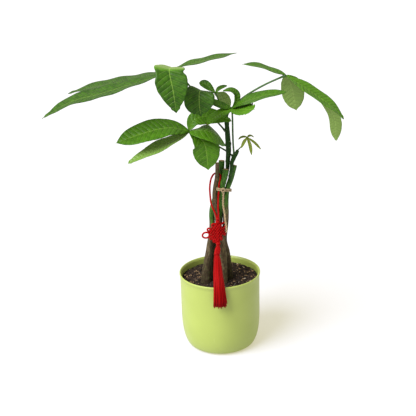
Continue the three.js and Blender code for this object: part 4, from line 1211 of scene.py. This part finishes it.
class PotOperator(bpy.types.Operator):
    """Turns the round plastic pot with its rolled lip and drain holes"""
    bl_idname = "money_tree.pot"
    bl_label = "Pot"

    def execute(self, context):
        settings = context.scene.money_tree_pot
        height, rim = settings.height / MM, settings.rim_radius / MM
        side, wall = settings.wall_radius / MM, settings.wall / MM
        flat = pot_reach(0) - FOOT_ROUND
        outline = [(0, 0), (flat, 0)]
        for i in range(1, 7):
            angle = math.pi / 2 * i / 6
            outline.append((flat + FOOT_ROUND * math.sin(angle) * 0.98,
                            2.4 * (1 - math.cos(angle))))
        outline += [(pot_reach(z), z) for z in (3.4, *WALL_HEIGHTS)]
        lip = height - LIP_DEPTH
        outline += [(side, lip - 4), (side + 0.2, lip - 1.6), (rim - 0.35, lip + 0.5),
                    (rim - 0.05, lip + 1.6)]
        for i in range(7):
            angle = math.pi * i / 6
            outline.append((rim - LIP_ROUND + LIP_ROUND * math.cos(angle),
                            height - LIP_ROUND + LIP_ROUND * math.sin(angle)))
        outline += [(side - wall + 0.1, height - 2.4), (side - wall, lip)]
        outline += [(pot_reach(z) - wall, z) for z in reversed(WALL_HEIGHTS)]
        outline += [(pot_reach(POT_FLOOR) - wall - 1.5, POT_FLOOR), (0, POT_FLOOR)]
        bm = bmesh.new()
        verts = [bm.verts.new((r * MM, 0, z * MM)) for r, z in outline]
        edges = [bm.edges.new(pair) for pair in zip(verts, verts[1:])]
        bmesh.ops.spin(bm, geom=verts + edges, axis=(0, 0, 1), cent=(0, 0, 0), steps=144,
                       angle=2 * math.pi, use_merge=True)
        bmesh.ops.remove_doubles(bm, verts=bm.verts, dist=1e-6)
        made = finished(bm, "pot_moulding", [pot_plastic(list(settings.colour))], ["pot"])

        bm = bmesh.new()
        for i in range(DRAIN_HOLES):
            angle = 2 * math.pi * (i + 0.5) / DRAIN_HOLES
            drill = bmesh.ops.create_cone(
                bm, cap_ends=True, segments=32, radius1=DRAIN_RADIUS * MM,
                radius2=DRAIN_RADIUS * MM, depth=4 * POT_FLOOR * MM)["verts"]
            bmesh.ops.translate(bm, verts=drill, vec=(DRAIN_PLACE * MM * math.cos(angle),
                                                      DRAIN_PLACE * MM * math.sin(angle), 0))
        drills = bpy.data.meshes.new("drills")
        bm.to_mesh(drills)
        bm.free()
        cutter = bpy.data.objects.new("drills", drills)
        context.scene.collection.objects.link(cutter)
        cut = made.modifiers.new("drain_holes", "BOOLEAN")
        cut.operation = "DIFFERENCE"
        cut.object = cutter
        context.view_layer.update()
        shape = bpy.data.meshes.new_from_object(
            made.evaluated_get(context.evaluated_depsgraph_get()))
        made.modifiers.clear()
        made.data = shape
        bpy.data.objects.remove(cutter)
        return {"FINISHED"}


class SoilOperator(bpy.types.Operator):
    """Fills the pot with potting mix and strews crumbs, perlite and bark chips on it"""
    bl_idname = "money_tree.soil"
    bl_label = "Potting mix"

    def execute(self, context):
        settings = context.scene.money_tree_soil
        reach = pot_reach(100) - SOIL_INSET
        bm = bmesh.new()
        outline = [(0, SOIL_FOOT), (pot_reach(SOIL_FOOT) - 4.5, SOIL_FOOT)]
        outline += [(pot_reach(z) - SOIL_INSET, z) for z in (6, 12, 20, 30, 42, 56, 80, 100)]
        outline += [(reach * i / 64, settings.top / MM) for i in range(64, -1, -1)]
        verts = [bm.verts.new((r * MM, 0, z * MM)) for r, z in outline]
        edges = [bm.edges.new(pair) for pair in zip(verts, verts[1:])]
        bmesh.ops.spin(bm, geom=verts + edges, axis=(0, 0, 1), cent=(0, 0, 0), steps=200,
                       angle=2 * math.pi, use_merge=True)
        bmesh.ops.remove_doubles(bm, verts=bm.verts, dist=1e-6)
        for v in bm.verts:
            if v.co.z > settings.top - 0.0001:
                v.co.z = soil_level(v.co.x / MM, v.co.y / MM) * MM
        finished(bm, "soil_bed", [potting_mix(list(settings.colour))], ["soil"])

        chance = random.Random(5)
        for name, count, low, high, material in (
            ("soil_crumbs", settings.crumbs, 0.5, 1.9,
             grain("dry_peat_crumb", "#070302", "#3A2617", size=2, rough=0.95)),
            ("perlite_grains", settings.perlite, 0.5, 1.25,
             grain("expanded_perlite", "#8D8270", "#DDD6C4", size=4, rough=0.9)),
            ("bark_chips", settings.chips, 0.7, 2.3,
             grain("shredded_pine_bark", "#2A1A0E", "#A2835C", size=3, rough=0.85)),
        ):
            bm, part = bmesh.new(), bmesh.new()
            for grain_number in range(count):
                if grain_number % BATCH == BATCH - 1:
                    gather(bm, part)
                    part = bmesh.new()
                size = chance.uniform(low, high)
                x = y = 0.0
                for _ in range(PLACING_TRIES):
                    radius = (reach - size - 0.6) * math.sqrt(chance.random())
                    angle = chance.uniform(0, 2 * math.pi)
                    x, y = radius * math.cos(angle), radius * math.sin(angle)
                    if not in_trunk(x, y, size + 0.5):
                        break
                if name == "bark_chips":
                    piece = bmesh.ops.create_cube(part, size=1)["verts"]
                    scale = Vector((size * 1.7, size * 0.8, size * 0.5))
                else:
                    piece = bmesh.ops.create_icosphere(part, subdivisions=1, radius=1)["verts"]
                    scale = Vector((size, size * chance.uniform(0.6, 1),
                                    size * chance.uniform(0.55, 0.9)))
                for v in piece:
                    v.co += Vector([chance.uniform(-0.16, 0.16) for _ in range(3)])
                    v.co = Vector(v.co[i] * scale[i] for i in range(3)) * MM
                turn = Matrix.Rotation(chance.uniform(0, 6.28), 3, "Z") @ Matrix.Rotation(
                    chance.uniform(-0.5, 0.5), 3, "X")
                bmesh.ops.rotate(part, verts=piece, matrix=turn, cent=(0, 0, 0))
                bmesh.ops.translate(part, verts=piece, vec=(
                    x * MM, y * MM, (soil_level(x, y) + size * 0.2) * MM))
            gather(bm, part)
            finished(bm, name, [material], smooth=name == "perlite_grains")
        return {"FINISHED"}


def bark_relief(points, seed, depth):
    """Radius of a trunk at a share of its length: its own radius with ridges and knobs."""
    total = len(points) - 1

    def reach(t, turn):
        run = min(t * total, total - 1e-6)
        low = int(run)
        radius = points[low][3] + (points[low + 1][3] - points[low][3]) * (run - low)
        x, y = math.cos(turn), math.sin(turn)
        ridge = noise.noise((x * 2.1, y * 2.1 + seed, t * 9))
        knob = noise.noise((x * 0.9 + seed, y * 0.9, t * 26))
        fine = noise.noise((x * 5, y * 5, t * 60 + seed))
        return radius * (1 + depth * (0.6 * ridge + 0.5 * knob + 0.25 * fine))
    return reach


class TrunkOperator(bpy.types.Operator):
    """Grows the four braided trunks, each with its bark and its pruned top"""
    bl_idname = "money_tree.trunks"
    bl_label = "Braided trunks"

    def execute(self, context):
        settings = context.scene.money_tree_plant
        bark = tree_bark(list(settings.bark), list(settings.young_bark))
        cut = pruned_wood()
        for seed, (name, points) in enumerate(TRUNKS.items()):
            bm = bmesh.new()
            young = bm.verts.layers.float.new("young")
            low, high = GREENING[name]

            def marks(t, turn, place):
                wander = 9 * noise.noise((1.4 * math.cos(turn), 1.4 * math.sin(turn), seed + 7))
                share = (place.z / MM + wander - low) / (high - low)
                return {young: min(1.0, max(0.0, share))}
            rows = tube(bm, route(points, 190), bark_relief(points, 3.7 * seed, 0.09), 36,
                        marks=marks)
            # The cut top is the one large face beside the first ring
            rim = [v for v in rows[0] if v.is_valid]
            top = min((f for f in bm.faces if len(f.verts) > 8),
                      key=lambda f: (f.calc_center_median() - rim[0].co).length)
            bmesh.ops.inset_region(bm, faces=[top], thickness=0.0005, depth=0.0001)
            inner = bmesh.ops.inset_region(bm, faces=[top], thickness=0.0016, depth=-0.0003)
            for face in [top] + inner["faces"]:
                face.material_index = 1
            finished(bm, name.replace("trunk_", "bark_"), [bark, cut], [name])
        return {"FINISHED"}


class ShootOperator(bpy.types.Operator):
    """Grows the two green shoots out of the trunks"""
    bl_idname = "money_tree.shoots"
    bl_label = "Green shoots"

    def execute(self, context):
        skin = shoot_bark(list(context.scene.money_tree_plant.shoot))
        for seed, (name, points) in enumerate(SHOOTS.items()):
            relief = bark_relief(points, 20 + seed, 0.06)
            rings = (0.22, 0.41, 0.63, 0.82) if name == "main_shoot" else (0.3, 0.62, 0.85)

            def reach(t, turn):
                swell = sum(0.16 * math.exp(-((t - ring) / 0.014) ** 2) for ring in rings)
                return relief(t, turn) * (1 + swell)
            bm = bmesh.new()
            tube(bm, route(points, 130), reach, 24)
            finished(bm, name + "_stem", [skin], [name])
        return {"FINISHED"}


def leaflet(bm, leaf, marks, uv, spacing):
    """A leaflet: a sheet laid along its midrib, puckered between its veins, with a thin
    second face below and a rib under the middle."""
    path, face_base, face_tip, width, rise, fall, fold, tint_value, dryness = leaf
    stations, columns = (26, 6) if width < SMALL_LEAFLET else (64, 16)
    fine = route(path, 260)
    drip = DRIP_LENGTH * width
    places, whole = even(fine, [
        s / stations - CROWDING * math.sin(2 * math.pi * s / stations)
        for s in range(stations + 1)])
    length = whole - drip
    torn, flat = TORN.get(path[-1][0], 0), FLAT_BASE.get(path[-1][0], 0)
    widest = rise / (rise + fall)
    first, second = Vector(face_base).normalized(), Vector(face_tip).normalized()
    wave = min(MARGIN_WAVE, width * 0.03)
    gap = spacing / MM * min(1, 0.35 + width / 60)
    seed = path[-1][0] * 0.37
    tint, dry = marks
    # The sheet, and the copy of it that becomes its second face, with each vertex's place
    spots = grid(bm, columns, stations, "veins")
    home = {v: (u, t) for v, u, t in spots}
    faces = list({f for v in home for f in v.link_faces})
    lower = bmesh.ops.extrude_face_region(bm, geom=faces, use_keep_orig=True)["geom"]
    below = [g for g in lower if isinstance(g, bmesh.types.BMVert)]
    where = {(round(v.co.x, 5), round(v.co.y, 5)): home[v] for v in home}
    for v in below:
        home[v] = where[(round(v.co.x, 5), round(v.co.y, 5))]
    below = set(below)
    for face in lower:
        if isinstance(face, bmesh.types.BMFace) and below.issuperset(face.verts):
            face.material_index = 1

    for v, (across, along_share) in home.items():
        i = round(along_share * stations)
        s = i / stations
        t = (s - CROWDING * math.sin(2 * math.pi * s)) * whole / length
        u = 2 * across - 1
        centre = places[i]
        along = (places[min(i + 1, stations)] - places[max(i - 1, 0)]).normalized()
        face = first.lerp(second, t)
        side = along.cross(face).normalized()
        normal = side.cross(along)
        # The outline's swell is 1 where the blade is widest. It never gets thinner than the
        # stalk of the leaflet at its base and the drip tip at its end
        swell = (t / widest) ** rise * (max(0.0, 1 - t) / (1 - widest)) ** fall
        left = max(0.0, whole - t * length) / drip
        reach = max(width / 2 * swell, WIDEST_PETIOLULE / 2 * (1 - 0.5 * t) * min(1, left),
                    DRIP_WIDTH * width * min(left, 1.6) ** 1.3 * (t > 0.8))
        if flat:
            reach *= 1.06 - 0.2 * math.exp(-((t - flat - 0.04) / 0.07) ** 2)
        if torn:
            bite = noise.noise((t * length * 0.16, u * 2.2, 3)) + 0.7 * noise.noise(
                (t * length * 0.5, u * 5, 8))
            reach *= 1 - torn * min(1, max(0.0, (t - 0.45) * 3)) * abs(bite)
        # A ragged edge, puckers that follow the side veins, a wavy margin and a grooved midrib
        ragged = 0.03 * width * noise.noise((t * length * 0.12, u, seed)) * abs(u) ** 3
        out = u * reach + math.copysign(ragged * swell, u)
        phase = (t * length - abs(u) * reach * VEIN_SLANT) / gap
        pucker = 0.032 * min(width, 26) / 2 * math.cos(2 * math.pi * phase) * (
            abs(u) * (1 - abs(u) ** 3)) * 1.2 * min(1.0, swell)
        lift = fold * abs(u) * reach + wave * math.sin(t * length * 0.16) * u * abs(u)
        lift += pucker + 0.5 * noise.noise((t * length * 0.05, u * 1.5, seed + 5)) * swell
        groove = 0.35 * math.exp(-(out / 0.9) ** 2) * min(1, width / 14)
        # The second face lies closer to the first away from the base, with the rib standing out
        if v in below:
            thin = 0.55 + 0.9 * max(0.0, 1 - t / 0.1)
            rib = 0.75 * (1 - t) * math.exp(-(out / 0.8) ** 2)
            height = lift - thin / 2 - rib
        else:
            height = lift + 0.3 - groove + 0.4 * max(0.0, 1 - t / 0.1)
        v.co = (centre + side * out + normal * height) * MM + PLANT_OFFSET
        # The flat base gets a painted sheen: its tint is raised so that it turns pale
        v[tint] = tint_value + (FLAT_SHINE * max(0.0, 1 - (t / flat) ** 8) if flat else 0)
        v[dry] = min(1.0, max(0.0, (t - 1 + dryness) * 14)) if dryness else 0
        for corner in v.link_loops:
            corner[uv].uv = (across, phase + 0.2 * u)


class LeafOperator(bpy.types.Operator):
    """Grows the hand-shaped leaves on their stalks"""
    bl_idname = "money_tree.leaves"
    bl_label = "Leaves"

    def execute(self, context):
        plant = context.scene.money_tree_plant
        top = leaf_skin("leaf_upper_skin", list(plant.leaf_dark), list(plant.leaf_light),
                        linear("#8FB04E"), rough=0.42, depth=0.4, gloss=0.22)
        under = leaf_skin("leaf_under_skin", linear("#6F8B46"), list(plant.leaf_under),
                          linear("#93A860"), rough=0.62, depth=0.2, gloss=0.2)
        fresh = leaf_skin("young_leaf_skin", linear("#47601A"), linear("#7E8A30"),
                          linear("#98A052"), rough=0.5, depth=0.15, gloss=0.3)
        stalk_skin = leaf_stalk()
        for name, (stalk, radius, leaflets) in LEAVES.items():
            bm = bmesh.new()
            bm.verts.layers.float.new("tint")
            bm.verts.layers.float.new("dry")
            bm.loops.layers.uv.new("veins")
            for leaf in leaflets:
                marks = (bm.verts.layers.float["tint"], bm.verts.layers.float["dry"])
                leaflet(bm, leaf, marks, bm.loops.layers.uv["veins"], plant.vein_spacing)
            young = name == "leaf_young"
            finished(bm, name + "_blades", [fresh, fresh] if young else [top, under],
                     [name])

            bm = bmesh.new()

            def reach(t, turn):
                base = 1.6 * math.exp(-(t / 0.035) ** 2)
                tip = 0.75 * math.exp(-((t - 1) / 0.03) ** 2)
                return radius * (1 + 0.35 * base + tip) * (1 - 0.1 * t)
            tube(bm, route(stalk, 90), reach, 16)
            finished(bm, name + "_stalk", [stalk_skin])
        return {"FINISHED"}


class MONEYTREE_PT_panel(bpy.types.Panel):
    """Lists the pieces of the money tree"""
    bl_idname = "MONEYTREE_PT_panel"
    bl_label = "Money Tree"
    bl_space_type = "VIEW_3D"
    bl_region_type = "UI"
    bl_category = "Money Tree"

    def draw(self, context):
        for operator in OPERATORS:
            self.layout.operator(operator.bl_idname)
        for group in SETTINGS:
            box = self.layout.box()
            settings = getattr(context.scene, group)
            for key in settings.__annotations__:
                box.prop(settings, key)


SETTINGS = {
    "money_tree_pot": PotSettings, "money_tree_soil": SoilSettings,
    "money_tree_plant": PlantSettings, "money_tree_charm": CharmSettings,
    "money_tree_stage": StageSettings,
}
OPERATORS = [
    StageOperator, KnotOperator, TasselOperator, CordOperator, TieOperator, PotOperator,
    SoilOperator, TrunkOperator, ShootOperator, LeafOperator,
]


def register():
    for one in [*SETTINGS.values(), *OPERATORS, MONEYTREE_PT_panel]:
        bpy.utils.register_class(one)
    for name, group in SETTINGS.items():
        setattr(bpy.types.Scene, name, PointerProperty(type=group))


def unregister():
    for name in SETTINGS:
        delattr(bpy.types.Scene, name)
    for one in reversed([*SETTINGS.values(), *OPERATORS, MONEYTREE_PT_panel]):
        bpy.utils.unregister_class(one)


def main():
    register()
    for operator in OPERATORS:
        group, name = operator.bl_idname.split(".")
        getattr(getattr(bpy.ops, group), name)()


if __name__ == "__main__":
    main()
